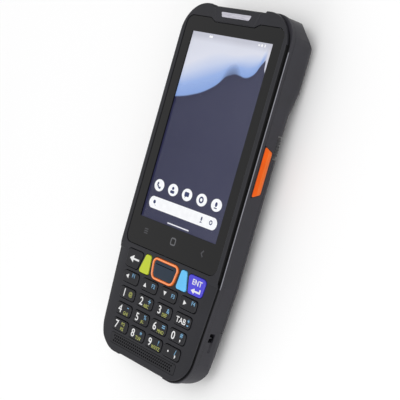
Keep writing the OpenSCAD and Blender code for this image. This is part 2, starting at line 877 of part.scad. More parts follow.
module vibration_motor() color("#b0b3b8")
    translate([motor_at[0], motor_at[1], wall]) cylinder(r = motor_r, h = motor_t);

module camera_module() color("#1b1b1e") {
    translate([camera_at[0], camera_at[1], wall]) slab(0, 3.4) square(2 * camera_r - 0.2, center = true);
    translate([camera_at[0], camera_at[1], lens_t + 2 * seat_gap]) cylinder(r = camera_r - 1.4, h = wall);
}

module camera_window() color("#08080a")
    translate([camera_at[0], camera_at[1], seat_gap]) cylinder(r = camera_r, h = lens_t);

module flash_lens() color("#d9d8c8")
    translate([flash_at[0], flash_at[1], seat_gap]) cylinder(r = flash_r, h = lens_t);

// Round-ended block along Y, as wide and high as the socket less t on each side
module usb_block(y, l, t) translate([0, y, usb_z + usb_h / 2]) rotate([-90, 0, 0]) linear_extrude(l)
    trapezoid([usb_w - 2 * t, usb_w - 2 * t], usb_h - 2 * t, [usb_h / 2 - t - 0.05, usb_h / 2 - t - 0.05]);

module usb_socket() color("#b9bcc2") difference() {
    usb_block(usb_y, usb_l, 0);
    usb_block(usb_y - over, usb_l + over - 1, 0.35);
}

module battery_contacts() color("#caa64a") {
    top_z = cell_z + pack_gap;
    translate([-contact_w / 2, cell_y + cell_l + cell_gap, pack_z + contact_lift])
        cube([contact_w, contact_l, top_z - pack_z - contact_lift]);
}

module side_switches() color("#6c6e73") {
    x = side_key_back - side_travel - 2 * seat_gap - switch_depth;
    both_sides() translate([x, side_key_y - switch_l / 2, board_z + board_t])
        cube([switch_depth, switch_l, switch_h]);
    for (y = [volume_y, power_y - power_switch_drop]) mirror([1, 0, 0])
        translate([x, y - small_switch_l / 2, board_z + board_t])
            cube([switch_depth, small_switch_l, switch_h]);
}

// ---------------------------------------------------------------- battery pack and latches

// Cover that is the back of the pack; its lower edge is bevelled so that it can tilt
module battery_cover() color("#3a3a40") {
    difference() {
        intersection() {
            back_form(0);
            translate([-body_w, pack_foot, -over]) cube([2 * body_w, pack_l, pack_z - seat_gap + over]);
        }
        along_x(2 * body_w) polygon([[pack_foot - 1, lug_z - lug_below], [pack_foot, lug_z - lug_below],
                                     [pack_foot + 1, back_z], [pack_foot + 1, 0], [pack_foot - 1, 0]]);
        translate([-cell_w / 2 - seat_gap, cell_y - seat_gap, cell_floor_z])
            cube([cell_w + 2 * seat_gap, cell_l + 2 * seat_gap, body_t]);
    }
    both_sides() translate([lug_x, pack_foot, lug_z]) rotate([0, 90, 0]) cylinder(r = lug_r, h = lug_l);
}

module battery_cell() color("#2a4d7c") translate([-cell_w / 2, cell_y, cell_floor_z])
    cube([cell_w, cell_l, cell_z - cell_floor_z]);

module battery_pads() color("#d4b45c") for (i = [-2 : 2])
    translate([i * pad_pitch - pad_w / 2, cell_y + cell_l + cell_gap + seat_gap, pack_z - seat_gap])
        cube([pad_w, pad_l, pad_t]);

// Ribbed slide that holds the upper end of the pack; squeezed inwards to let it go
module latch() {
    y0 = latch_y;
    intersection() {
        union() {
            back_form(latch_skin);
            intersection() {
                back_form(0);
                for (i = [0 : latch_ribs - 1])
                    translate([0, y0 + 1 + i * (latch_l - 2.6) / (latch_ribs - 1), 0])
                        cube([body_w, 0.6, body_t]);
            }
        }
        translate([latch_in_x, y0, -over]) cube([body_w, latch_l, back_z + latch_h + over]);
    }
}

module latch_right() color("#2b2b30") latch();
module latch_left() color("#2b2b30") mirror([1, 0, 0]) latch();

// ---------------------------------------------------------------- keys

module scan_side_key() side_key(side_key_y, side_key_l, side_key_h, side_key_slant, side_key_proud);

module side_key_right() color("#e8661f") scan_side_key();
module side_key_left() color("#e8661f") mirror([1, 0, 0]) scan_side_key();
module volume_key() color("#2b2b30") mirror([1, 0, 0])
    side_key(volume_y, volume_l, small_key_h, small_key_slant, small_key_proud);
module power_key() color("#2b2b30") mirror([1, 0, 0])
    side_key(power_y, power_l, small_key_h, small_key_slant, small_key_proud);

// A key: the cap through the shell and the flange that holds it in
module key_solid() {
    slab(flange_z, cap_z - flange_z) children(0);
    slab(flange_z, flange_t) children(1);
}

module grid_key(column, row) translate(cap_at(column, row)) key_solid() {
    cap_outline(0);
    cap_outline(flange_w);
}

module key_scan() color("#17171a") {
    slab(flange_z, cap_z - flange_z) ring_outline(-ring_w - seat_gap);
    slab(flange_z, flange_t) ring_outline(flange_w);
}
module scan_ring() color("#e0702c")
    slab(flange_z + flange_t, cap_z + ring_proud - flange_z - flange_t) difference() {
        ring_outline(0);
        ring_outline(-ring_w);
    }
module key_yellow() color("#c8bd20") mirror([1, 0, 0]) key_solid() {
    colour_key_outline(0);
    colour_key_outline(flange_w);
}
module key_blue() color("#5cb8ee") key_solid() {
    colour_key_outline(0);
    colour_key_outline(flange_w);
}
module key_back() color("#26262a") mirror([1, 0, 0]) key_solid() {
    outer_key_outline(0);
    outer_key_outline(flange_w);
}
module key_enter() color("#4f4bd8") key_solid() {
    outer_key_outline(0);
    outer_key_outline(flange_w);
}
module key_left() color("#26262a") grid_key(0, 0);
module key_up() color("#26262a") grid_key(1, 0);
module key_down() color("#26262a") grid_key(2, 0);
module key_right() color("#26262a") grid_key(3, 0);
module key_1() color("#26262a") grid_key(0, 1);
module key_2() color("#26262a") grid_key(1, 1);
module key_3() color("#26262a") grid_key(2, 1);
module key_tab() color("#26262a") grid_key(3, 1);
module key_4() color("#26262a") grid_key(0, 2);
module key_5() color("#26262a") grid_key(1, 2);
module key_6() color("#26262a") grid_key(2, 2);
module key_0() color("#26262a") grid_key(3, 2);
module key_7() color("#26262a") grid_key(0, 3);
module key_8() color("#26262a") grid_key(1, 3);
module key_9() color("#26262a") grid_key(2, 3);
module key_dot() color("#26262a") grid_key(3, 3);

front_shell();
glass_panel();
display_module();
badge_plate();
speaker_grille();
perimeter_seal();
rear_housing();
housing_screws();
main_board();
keypad_board();
keypad_mat();
scan_window();
scan_engine();
loudspeaker();
vibration_motor();
camera_module();
camera_window();
flash_lens();
usb_socket();
battery_contacts();
side_switches();
strap_posts();
battery_cover();
battery_cell();
battery_pads();
latch_right();
latch_left();
side_key_right();
side_key_left();
volume_key();
power_key();
key_scan();
scan_ring();
key_back();
key_enter();
key_yellow();
key_blue();
key_left();
key_up();
key_down();
key_right();
key_1();
key_2();
key_3();
key_tab();
key_4();
key_5();
key_6();
key_0();
key_7();
key_8();
key_9();
key_dot();
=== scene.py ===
"""Looks of a handheld barcode data terminal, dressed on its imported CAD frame.

Every piece is in metres in the frame of the solids: +Z out of the screen, +Y towards the
scan end, +X to the right of the screen. Sizes in the classes below are in millimetres.
"""

from __future__ import annotations

import logging
import math
from contextlib import contextmanager
from dataclasses import dataclass, field
from enum import Enum
from typing import Callable, Iterator, Sequence

import bmesh
import bpy
from mathutils import Matrix, Vector, geometry


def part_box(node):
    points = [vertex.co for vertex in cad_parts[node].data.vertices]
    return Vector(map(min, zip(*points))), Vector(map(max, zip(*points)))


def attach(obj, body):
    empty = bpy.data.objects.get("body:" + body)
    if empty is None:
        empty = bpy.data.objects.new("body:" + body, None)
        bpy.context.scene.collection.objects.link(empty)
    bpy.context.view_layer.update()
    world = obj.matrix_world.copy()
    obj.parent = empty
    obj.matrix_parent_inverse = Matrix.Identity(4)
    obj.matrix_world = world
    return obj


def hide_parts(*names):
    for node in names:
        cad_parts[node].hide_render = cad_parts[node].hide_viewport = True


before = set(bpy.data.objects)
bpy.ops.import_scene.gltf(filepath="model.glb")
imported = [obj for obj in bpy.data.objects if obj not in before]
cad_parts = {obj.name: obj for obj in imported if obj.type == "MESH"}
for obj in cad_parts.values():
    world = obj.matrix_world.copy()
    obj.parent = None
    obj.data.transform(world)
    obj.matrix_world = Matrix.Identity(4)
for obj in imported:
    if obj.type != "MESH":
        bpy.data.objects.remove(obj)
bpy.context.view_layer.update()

MM = 0.001
CUT_INSIDE = 1  # the kind of cut that leaves out what lies outside the outline
LOG = logging.getLogger("terminal")
Point = tuple[float, float]
Spot = tuple[float, float, float]
Rgb = tuple[float, float, float]


# ------------------------------------------------------------------ colour and node helpers


def linear(rgb: Rgb) -> tuple[float, float, float, float]:
    """Turns a display colour of 0 to 255 into a linear colour with an alpha of 1.

    Args:
        rgb: Red, green and blue as shown on a display.

    Returns:
        The four numbers that a shader socket takes.
    """
    parts = [c / 255 for c in rgb]
    flat = [c / 12.92 if c <= 0.04045 else ((c + 0.055) / 1.055) ** 2.4 for c in parts]
    return (flat[0], flat[1], flat[2], 1.0)


def toned(rgb: Rgb, gain: float) -> Rgb:
    """Returns a display colour made lighter or darker by a factor."""
    return (min(255.0, rgb[0] * gain), min(255.0, rgb[1] * gain), min(255.0, rgb[2] * gain))


class Graph:
    """A small builder for the node tree of one material."""

    def __init__(self, material: bpy.types.Material) -> None:
        """Empties the material's tree and gives it an output and a Principled shader.

        Args:
            material: The material, emptied first.
        """
        material.use_nodes = True
        self.tree = material.node_tree
        self.tree.nodes.clear()
        out = self.tree.nodes.new("ShaderNodeOutputMaterial")
        self.shader = self.tree.nodes.new("ShaderNodeBsdfPrincipled")
        self.tree.links.new(self.shader.outputs[0], out.inputs["Surface"])

    def feed(self, target: bpy.types.NodeSocket, value: object) -> None:
        """Links a socket to another, or gives it a value of its own.

        Args:
            target: The socket that is fed.
            value: What feeds it, a value or another socket.
        """
        if isinstance(value, bpy.types.NodeSocket):
            self.tree.links.new(value, target)
        else:
            target.default_value = value

    def node(self, kind: str, inputs: dict[object, object]) -> bpy.types.Node:
        """Adds a node.

        Args:
            kind: Blender's name of the node type.
            inputs: Values or sockets for the node's inputs, by name or number.

        Returns:
            The new node.
        """
        node = self.tree.nodes.new(kind)
        for key, value in inputs.items():
            self.feed(node.inputs[key], value)
        return node

    def math(self, operation: str, a: object, b: object = 0.0, c: object = 0.0) -> bpy.types.NodeSocket:
        """Adds a Math node and returns its result.

        Args:
            operation: Blender's name of the operation.
            a: The first value or socket.
            b: The second value or socket.
            c: The third value or socket.

        Returns:
            The socket that carries the result.
        """
        node = self.node("ShaderNodeMath", {0: a, 1: b, 2: c})
        node.operation = operation
        return node.outputs[0]

    def place(self) -> bpy.types.NodeSocket:
        """Returns the Object coordinates."""
        return self.tree.nodes.new("ShaderNodeTexCoord").outputs["Object"]

    def stretched(self, scale: Sequence[float]) -> bpy.types.NodeSocket:
        """Returns Object coordinates scaled along each axis."""
        return self.node("ShaderNodeMapping", {"Vector": self.place(), "Scale": tuple(scale)}).outputs[0]

    def noise(self, vector: bpy.types.NodeSocket, scale: float, detail: float = 2.0) -> bpy.types.NodeSocket:
        """Returns a noise value; the scale is in cycles a metre."""
        return self.node("ShaderNodeTexNoise", {"Vector": vector, "Scale": scale, "Detail": detail}).outputs[0]

    def ramp(self, factor: bpy.types.NodeSocket, stops: Sequence[tuple[float, Rgb]]) -> bpy.types.NodeSocket:
        """Returns a colour ramp of display colours at the given places.

        Args:
            factor: A value or socket from 0 to 1.
            stops: Places from 0 to 1 with their display colours.

        Returns:
            The socket that carries the result.
        """
        node = self.node("ShaderNodeValToRGB", {0: factor})
        bands = node.color_ramp.elements
        while len(bands) < len(stops):
            bands.new(0.5)
        for band, (spot, rgb) in zip(bands, stops):
            band.position = spot
            band.color = linear(rgb)
        return node.outputs[0]

    def blend(self, factor: object, a: object, b: object) -> bpy.types.NodeSocket:
        """Returns a blend of two colours.

        Args:
            factor: A value or socket from 0 to 1.
            a: The first value or socket.
            b: The second value or socket.

        Returns:
            The socket that carries the result.
        """
        node = self.tree.nodes.new("ShaderNodeMix")
        node.data_type = "RGBA"
        self.feed(node.inputs[0], factor)
        self.feed(node.inputs[6], a)
        self.feed(node.inputs[7], b)
        return node.outputs[2]

    def span(self, value: bpy.types.NodeSocket, source: Point, target: Point) -> bpy.types.NodeSocket:
        """Maps a value from one range to another and clamps it.

        Args:
            value: A value or a socket.
            source: The range that comes in.
            target: The range that goes out.

        Returns:
            The socket that carries the result.
        """
        return self.node(
            "ShaderNodeMapRange", {0: value, 1: source[0], 2: source[1], 3: target[0], 4: target[1]}
        ).outputs[0]

    def curve(self, value: bpy.types.NodeSocket, points: Sequence[Point]) -> bpy.types.NodeSocket:
        """Returns a smooth curve through points of 0 to 1, read at a value.

        Args:
            value: A value or a socket.
            points: The points, from left to right.

        Returns:
            The socket that carries the result.
        """
        node = self.node("ShaderNodeFloatCurve", {"Value": value})
        line = node.mapping.curves[0]
        line.points[0].location = points[0]
        line.points[1].location = points[-1]
        for point in points[1:-1]:
            line.points.new(*point)
        node.mapping.update()
        return node.outputs[0]

    def bump(self, height: bpy.types.NodeSocket, depth: float) -> None:
        """Gives the shader a bump of so many millimetres."""
        node = self.node("ShaderNodeBump", {"Height": height, "Distance": depth * MM, "Strength": 1.0})
        self.set(Normal=node.outputs[0])

    def set(self, **values: object) -> None:
        """Feeds the shader's own sockets, whose names are written with underscores."""
        for name, value in values.items():
            self.feed(self.shader.inputs[name.replace("_", " ")], value)


# ------------------------------------------------------------------ finishes


@dataclass(frozen=True)
class Look:
    """A finish with one material of its own."""

    name: str

    def material(self) -> bpy.types.Material:
        """Returns the material, and draws it if it isn't there yet.

        Returns:
            The material.
        """
        known = bpy.data.materials.get("look_" + self.name)
        if known is None:
            known = bpy.data.materials.new("look_" + self.name)
            self.draw(Graph(known))
        return known

    def draw(self, graph: Graph) -> None:
        """Draws the material's nodes; each kind of finish has its own."""
        raise NotImplementedError


@dataclass(frozen=True)
class Moulded(Look):
    """Moulded plastic or rubber with a fine spark-eroded grain."""

    tone: Rgb
    roughness: float = 0.5
    contrast: float = 0.10
    grain: float = 0.16
    relief: float = 0.005
    specular: float = 0.4
    coat: float = 0.0
    glow: float = 0.0

    def draw(self, graph: Graph) -> None:
        """Draws the tone, grain and gloss.

        Args:
            graph: The material's node tree.
        """
        place = graph.place()
        cloud = graph.noise(place, 90.0, 3.0)
        grain = graph.noise(place, 1 / (self.grain * MM))
        both = graph.math("ADD", graph.math("MULTIPLY", grain, 0.45), graph.math("MULTIPLY", cloud, 0.55))
        stops = ((0.35, toned(self.tone, 1 - self.contrast)), (0.65, toned(self.tone, 1 + self.contrast)))
        colour = graph.ramp(both, stops)
        graph.set(Base_Color=colour)
        ends = (self.roughness - 0.05, self.roughness + 0.05)
        graph.set(Roughness=graph.span(both, (0.35, 0.65), ends))
        graph.set(Specular_IOR_Level=self.specular, Coat_Weight=self.coat, Coat_Roughness=0.1)
        if self.glow > 0:
            graph.set(Emission_Color=colour)
            graph.set(Emission_Strength=self.glow)
        graph.bump(grain, self.relief)


@dataclass(frozen=True)
class Metal(Look):
    """Turned, brushed or plated metal."""

    tone: Rgb
    roughness: float = 0.3
    lines: Spot = (4000.0, 300.0, 300.0)
    relief: float = 0.003

    def draw(self, graph: Graph) -> None:
        """Draws the brushed lines.

        Args:
            graph: The material's node tree.
        """
        brushed = graph.noise(graph.stretched(self.lines), 1.0, 4.0)
        stops = ((0.3, toned(self.tone, 0.86)), (0.7, toned(self.tone, 1.08)))
        graph.set(Base_Color=graph.ramp(brushed, stops))
        ends = (self.roughness - 0.06, self.roughness + 0.08)
        graph.set(Roughness=graph.span(brushed, (0.3, 0.7), ends))
        graph.set(Metallic=1.0)
        graph.bump(brushed, self.relief)


@dataclass(frozen=True)
class Laminate(Look):
    """Circuit board with faint copper tracks under its lacquer."""

    tone: Rgb
    pitch: float = 1.6

    def draw(self, graph: Graph) -> None:
        """Draws the tracks as edges of stretched cells.

        Args:
            graph: The material's node tree.
        """
        cells = graph.node(
            "ShaderNodeTexVoronoi", {"Vector": graph.stretched((1.0, 0.45, 1.0)), "Scale": 1 / (self.pitch * MM)}
        )
        cells.distance = "MANHATTAN"
        stops = ((0.25, toned(self.tone, 0.85)), (0.45, toned(self.tone, 1.5)))
        graph.set(Base_Color=graph.ramp(cells.outputs["Distance"], stops))
        graph.set(Roughness=graph.span(cells.outputs["Distance"], (0.0, 0.8), (0.28, 0.42)))
        graph.bump(cells.outputs["Distance"], 0.02)


@dataclass(frozen=True)
class ClearPane(Look):
    """Clear bonded glass; the gloss of the window is carried by the picture right below it."""

    tint: Rgb = (250, 251, 252)
    roughness: float = 0.02
    index: float = 1.01

    def draw(self, graph: Graph) -> None:
        """Draws clear glass with a faint haze of handling.

        Args:
            graph: The material's node tree.
        """
        haze = graph.noise(graph.place(), 40.0, 3.0)
        graph.set(Roughness=graph.span(haze, (0.3, 0.7), (self.roughness, self.roughness + 0.02)))
        graph.set(Base_Color=linear(self.tint), Transmission_Weight=1.0, IOR=self.index)


@dataclass(frozen=True)
class LitPicture(Look):
    """Generic wallpaper: a pale sky over a blue wave on slate, lit from behind."""

    width: float = 51.84
    height: float = 86.4
    foot: float = -18.4
    wave: tuple[Point, ...] = (
        (0, 0.648), (0.114, 0.661), (0.21, 0.677), (0.307, 0.697), (0.403, 0.726), (0.48, 0.757), (0.52, 0.781),
        (0.55, 0.799), (0.596, 0.812), (0.654, 0.822), (0.712, 0.820), (0.78, 0.815), (0.838, 0.826), (0.885, 0.850),
        (0.911, 0.880), (0.94, 0.905), (0.955, 0.915), (0.97, 0.87), (1, 0.85),
    )
    sky: tuple[Point, ...] = (
        (0, 0.778), (0.114, 0.807), (0.21, 0.83), (0.307, 0.853), (0.5, 0.882), (0.7, 0.902), (0.88, 0.918), (1, 0.935),
    )
    water: tuple[tuple[float, Rgb], ...] = (
        (0.0, (138, 168, 226)), (0.2, (158, 184, 236)), (0.38, (206, 216, 242)), (0.55, (228, 230, 243)),
        (1.0, (222, 223, 234)),
    )
    slate: tuple[tuple[float, Rgb], ...] = ((0.15, (48, 49, 77)), (0.5, (56, 57, 84)), (0.8, (64, 65, 90)))

    def draw(self, graph: Graph) -> None:
        """Draws the wallpaper from two curves across the picture.

        Args:
            graph: The material's node tree.
        """
        parts = graph.node("ShaderNodeSeparateXYZ", {0: graph.place()})
        half = self.width / 2 * MM
        across = graph.span(parts.outputs[0], (-half, half), (0.0, 1.0))
        top = (self.foot + self.height) * MM
        up = graph.span(parts.outputs[1], (self.foot * MM, top), (0.0, 1.0))
        wave = graph.curve(across, self.wave)
        sky = graph.curve(across, self.sky)
        depth = graph.math("MAXIMUM", graph.math("SUBTRACT", sky, wave), 0.05)
        rise = graph.math("DIVIDE", graph.math("SUBTRACT", up, wave), depth)
        water = graph.ramp(graph.span(rise, (0.0, 2.4), (0.0, 1.0)), self.water)
        crest = graph.math("POWER", graph.math("ABSOLUTE", graph.math("SUBTRACT", across, 0.61)), 2.0)
        dip = graph.math("ADD", graph.math("MULTIPLY", crest, 130.0), graph.math("MULTIPLY", rise, 2.4))
        shade = graph.span(dip, (0.25, 1.9), (0.75, 0.0))
        water = graph.blend(shade, water, linear((92, 104, 134)))
        drift = graph.noise(graph.place(), 22.0, 2.0)
        tilt = graph.math("ADD", graph.math("MULTIPLY", drift, 0.5), graph.math("MULTIPLY", across, 0.45))
        slate = graph.ramp(tilt, self.slate)
        under = graph.span(graph.math("SUBTRACT", wave, up), (0.0, 0.05), (0.3, 0.0))
        slate = graph.blend(under, slate, linear((42, 43, 69)))
        edge = graph.span(graph.math("SUBTRACT", up, wave), (-0.003, 0.005), (0.0, 1.0))
        water = graph.blend(graph.span(across, (0.93, 0.965), (0.0, 0.85)), water, linear((222, 220, 228)))
        strip = graph.span(up, (0.955, 0.985), (0.0, 0.5))
        water = graph.blend(strip, water, linear((180, 180, 194)))
        picture = graph.blend(edge, slate, water)
        graph.set(Emission_Color=picture)
        graph.set(Base_Color=graph.blend(0.97, picture, linear((3, 3, 4))))
        graph.set(Roughness=graph.span(drift, (0.3, 0.7), (0.13, 0.15)))
        graph.set(Emission_Strength=0.9, Specular_IOR_Level=0.42)


@dataclass(frozen=True)
class LitInk(Look):
    """A flat sign of the lit picture, such as a round icon."""

    tone: Rgb
    glow: float = 0.95

    def draw(self, graph: Graph) -> None:
        """Draws a very slightly uneven lit colour.

        Args:
            graph: The material's node tree.
        """
        cloud = graph.noise(graph.place(), 400.0)
        colour = graph.ramp(cloud, ((0.3, toned(self.tone, 0.985)), (0.7, toned(self.tone, 1.015))))
        graph.set(Emission_Color=colour)
        graph.set(Emission_Strength=self.glow, Base_Color=linear((5, 5, 6)), Roughness=0.14, Specular_IOR_Level=0.42)


@dataclass(frozen=True)
class Paper(Look):
    """Matt paper of the floor, which keeps the shadow."""

    def draw(self, graph: Graph) -> None:
        """Draws an almost even white.

        Args:
            graph: The material's node tree.
        """
        cloud = graph.noise(graph.place(), 2.0)
        graph.set(Base_Color=graph.ramp(cloud, ((0.3, (247, 247, 247)), (0.7, (250, 250, 250)))))
        graph.set(Roughness=0.9, Specular_IOR_Level=0.0)


class Finish(Enum):
    """The finishes of this terminal by what carries them."""

    SHELL = Moulded("front_shell_plastic", (28, 28, 34), 0.4, 0.10)
    HOUSING = Moulded("rear_housing_plastic", (37, 36, 43), 0.52, 0.12, 0.2, 0.008)
    PACK = Moulded("battery_pack_plastic", (36, 35, 42), 0.54, 0.12, 0.2, 0.008)
    SEAL = Moulded("seal_rubber", (13, 13, 14), 0.62, 0.15)
    CAP = Moulded("keycap_plastic", (22, 22, 27), 0.42, 0.10, 0.1, 0.002)
    SCAN_CAP = Moulded("scan_key_gloss", (16, 36, 54), 0.22, 0.08, 0.3, 0.001, 0.4, 0.15)
    # The ring's glow is painted; its pale top band is a painted highlight that glows as well.
    RING = Moulded("scan_ring_light", (222, 112, 44), 0.25, 0.07, 0.4, 0.002, 0.5, 0.4, 0.12)
    RING_CORE = Moulded("scan_ring_core", (250, 178, 128), 0.3, 0.04, 0.4, 0.001, 0.5, 0.4, 0.35)
    YELLOW = Moulded("yellow_key_plastic", (186, 200, 34), 0.32, 0.05, 0.1, 0.002, 0.5, 0.2)
    BLUE = Moulded("blue_key_plastic", (98, 192, 244), 0.32, 0.05, 0.1, 0.002, 0.5, 0.2)
    ENTER = Moulded("enter_key_plastic", (68, 60, 208), 0.34, 0.05, 0.1, 0.002, 0.5, 0.2)
    SIDE_KEY = Moulded("orange_key_rubber", (226, 104, 34), 0.5, 0.06, 0.15, 0.004, 0.15)
    # Painted shade and painted light of the side keys, chosen by which way each face turns.
    SIDE_KEY_DEEP = Moulded("deep_orange_key_rubber", (124, 34, 12), 0.5, 0.06, 0.15, 0.004)
    SIDE_KEY_RIDGE = Moulded("bright_orange_key_rubber", (222, 88, 10), 0.5, 0.06, 0.15, 0.004, 0.15)
    # Painted shade: black strips laid in the groove between shell and housing.
    GASKET = Moulded("gasket_rubber", (7, 7, 8), 0.6, 0.15, 0.16, 0.003, 0.2)
    # Painted highlight: light strip on the housing's edge.
    EDGE = Moulded("housing_edge_gloss", (128, 128, 136), 0.3, 0.08, 0.2, 0.002)
    BUTTON = Moulded("black_button_rubber", (28, 28, 31), 0.55, 0.10, 0.15, 0.004)
    LATCH = Moulded("latch_plastic", (31, 31, 35), 0.45, 0.10)
    GRILLE = Moulded("grille_plastic", (26, 26, 31), 0.5, 0.10)
    # Near-black plugs in the sound holes: painted shade.
    HOLE = Moulded("sound_hole_gauze", (3, 3, 4), 0.9, 0.3, 0.16, 0.005, 0.0)
    PRINT = Moulded("black_glass_print", (5, 5, 6), 0.14, 0.12, 0.16, 0.0, 0.42)
    MARK = Moulded("grey_glass_print", (92, 92, 96), 0.2, 0.05, 0.16, 0.0, 0.4)
    MARK_FAINT = Moulded("faint_glass_print", (66, 66, 70), 0.2, 0.05, 0.16, 0.0, 0.4)
    LEGEND = Moulded("white_legend_ink", (226, 226, 226), 0.55, 0.04, 0.2, 0.001)
    LEGEND_BLUE = Moulded("blue_legend_ink", (116, 166, 200), 0.55, 0.04, 0.2, 0.001)
    LEGEND_LIME = Moulded("lime_legend_ink", (166, 170, 88), 0.55, 0.04, 0.2, 0.001)
    SILICONE = Moulded("mat_silicone", (92, 93, 98), 0.65, 0.08)
    ENGINE = Moulded("engine_housing", (70, 71, 76), 0.5, 0.08)
    SPEAKER = Moulded("speaker_body", (42, 43, 46), 0.55, 0.10)
    SWITCH = Moulded("switch_body", (104, 106, 112), 0.5, 0.08)
    CELL = Moulded("cell_wrap", (40, 78, 122), 0.3, 0.08, 0.6, 0.004, 0.5, 0.4)
    CHIP = Moulded("chip_package", (24, 24, 26), 0.5, 0.10)
    BADGE = Metal("badge_silver", (228, 226, 240), 0.34, (300.0, 5000.0, 300.0))
    STEEL = Metal("screw_steel", (150, 152, 156), 0.32)
    # Dark steel of the camera ring; on the strap posts it also paints the shade of their pocket.
    DARK_STEEL = Metal("blackened_steel", (70, 70, 74), 0.35)
    BRIGHT = Metal("bright_steel", (186, 188, 192), 0.25)
    GOLD = Metal("contact_gold", (212, 172, 92), 0.25)
    BOARD = Laminate("main_board_laminate", (26, 78, 50))
    GLASS = ClearPane("cover_glass_clear")
    SCAN_GLASS = Moulded("scan_filter_gloss", (40, 10, 14), 0.08, 0.1, 0.5, 0.001, 0.5, 0.8)
    LENS = Moulded("camera_glass_gloss", (8, 8, 11), 0.06, 0.1, 0.5, 0.001, 0.5, 0.8)
    FLASH = Moulded("flash_diffuser", (222, 220, 200), 0.2, 0.04, 0.3, 0.01, 0.5, 0.5)
    PICTURE = LitPicture("lit_wallpaper")
    ICON = LitInk("lit_white", (250, 250, 252), 1.0)
    GLYPH = LitInk("lit_slate_sign", (50, 60, 104))
    PILL = LitInk("lit_pale_bar", (240, 239, 247))

    def material(self) -> bpy.types.Material:
        """Returns the finish's material."""
        return self.value.material()


# ------------------------------------------------------------------ meshes


@dataclass
class Solid:
    """Points in millimetres and faces with a finish number, gathered before one mesh is made."""

    points: list[Spot] = field(default_factory=list)
    faces: list[tuple[int, ...]] = field(default_factory=list)
    numbers: list[int] = field(default_factory=list)

    def add(self, points: Sequence[Sequence[float]], faces: Sequence[Sequence[int]], number: int = 0) -> None:
        """Adds a closed shape of one finish.

        Args:
            points: Its points in millimetres.
            faces: Its faces, by number of point.
            number: Its finish number.
        """
        base = len(self.points)
        self.points.extend(tuple(p) for p in points)
        self.faces.extend(tuple(base + i for i in f) for f in faces)
        self.numbers.extend([number] * len(faces))

    def loft(self, loops: Sequence[Sequence[Sequence[float]]], number: int = 0, closed: bool = True) -> None:
        """Adds a skin through loops of equal length, lowest first, with both ends shut.

        Args:
            loops: The loops, each with the same number of points.
            number: Its finish number.
            closed: Whether both ends are shut.
        """
        n = len(loops[0])
        points = [p for loop in loops for p in loop]
        faces: list[tuple[int, ...]] = []
        for k in range(len(loops) - 1):
            for i in range(n):
                j = (i + 1) % n
                faces.append((k * n + i, k * n + j, (k + 1) * n + j, (k + 1) * n + i))
        if closed:
            faces.append(tuple(range(n - 1, -1, -1)))
            faces.append(tuple((len(loops) - 1) * n + i for i in range(n)))
        self.add(points, faces, number)

    def slab(self, outline: Sequence[Point], low: float, high: float, number: int = 0) -> None:
        """Adds a flat plate with a counter-clockwise outline."""
        self.loft([[(x, y, z) for x, y in outline] for z in (low, high)], number)

    def tube(self, outer: Sequence[Point], inner: Sequence[Point], low: float, high: float, number: int = 0) -> None:
        """Adds a flat ring between two outlines of equal length."""
        section = ((outer, low), (outer, high), (inner, high), (inner, low))
        self.ring([[(x, y, z) for x, y in line] for line, z in section], number)

    def ring(self, lines: Sequence[Sequence[Spot]], number: int = 0) -> None:
        """Adds a closed ring.

        Args:
            lines: Closed lines of equal length, in order round the section.
            number: Its finish number.
        """
        n, m = len(lines[0]), len(lines)
        faces = [
            (k * n + i, k * n + (i + 1) % n, (k + 1) % m * n + (i + 1) % n, (k + 1) % m * n + i)
            for k in range(m)
            for i in range(n)
        ]
        self.add([p for line in lines for p in line], faces, number)

    def stack(self, line: Callable[[float], list[Point]], levels: Sequence[Point], number: int = 0) -> None:
        """Adds a plate whose outline moves in by an inset at each height."""
        self.loft([[(x, y, z) for x, y in line(inset)] for z, inset in levels], number)

    def rail(
        self, outline: "Outline", profile: Sequence[Point], picks: Sequence[int] | None = None, number: int = 0
    ) -> None:
        """Adds a profile swept along an outline.

        Args:
            outline: The path.
            profile: Pairs of height and inset, round the section.
            picks: Which points of the path to follow; all of them, and closed, if none are given.
            number: Its finish number.
        """
        lines = [[(x, y, z) for x, y in outline.loop(inset)] for z, inset in profile]
        if picks is None:
            self.ring(lines, number)
        else:
            self.loft([[line[i] for line in lines] for i in picks], number)

    def make(self, name: str, finishes: Sequence[Finish], smooth: float = 35.0) -> bpy.types.Object:
        """Turns what was gathered into an object.

        Args:
            name: The piece's name.
            finishes: One finish for each number that was used.
            smooth: Edges that turn less than this many degrees are shaded smooth.

        Returns:
            The object, linked into the scene.
        """
        mesh = bpy.data.meshes.new(name)
        mesh.from_pydata([(x * MM, y * MM, z * MM) for x, y, z in self.points], [], self.faces)
        for face, number in zip(mesh.polygons, self.numbers):
            face.material_index = number
        for finish in finishes:
            mesh.materials.append(finish.material())
        mesh.validate()
        with edited(mesh) as work:
            bmesh.ops.recalc_face_normals(work, faces=work.faces)
        return evened(linked(mesh, name, smooth))


@contextmanager
def edited(mesh: bpy.types.Mesh) -> Iterator[bmesh.types.BMesh]:
    """Opens a mesh for editing and writes it back at the end.

    Args:
        mesh: The mesh that is edited.

    Yields:
        The mesh, open for editing.
    """
    work = bmesh.new()
    work.from_mesh(mesh)
    yield work
    work.to_mesh(mesh)
    work.free()


def placed(name: str, data: bpy.types.ID) -> bpy.types.Object:
    """Returns a new object with this data, linked into the scene.

    Args:
        name: The object's name.
        data: What the object shows.

    Returns:
        The object.
    """
    made = bpy.data.objects.new(name, data)
    bpy.context.scene.collection.objects.link(made)
    return made


def linked(mesh: bpy.types.Mesh, name: str, smooth: float = 35.0) -> bpy.types.Object:
    """Puts a mesh into the scene and shades it smooth up to an angle.

    Args:
        mesh: The mesh.
        name: The object's name.
        smooth: Edges that turn less than this many degrees are shaded smooth.

    Returns:
        The object.
    """
    mesh.shade_smooth()
    mesh.set_sharp_from_angle(angle=math.radians(smooth))
    return placed(name, mesh)


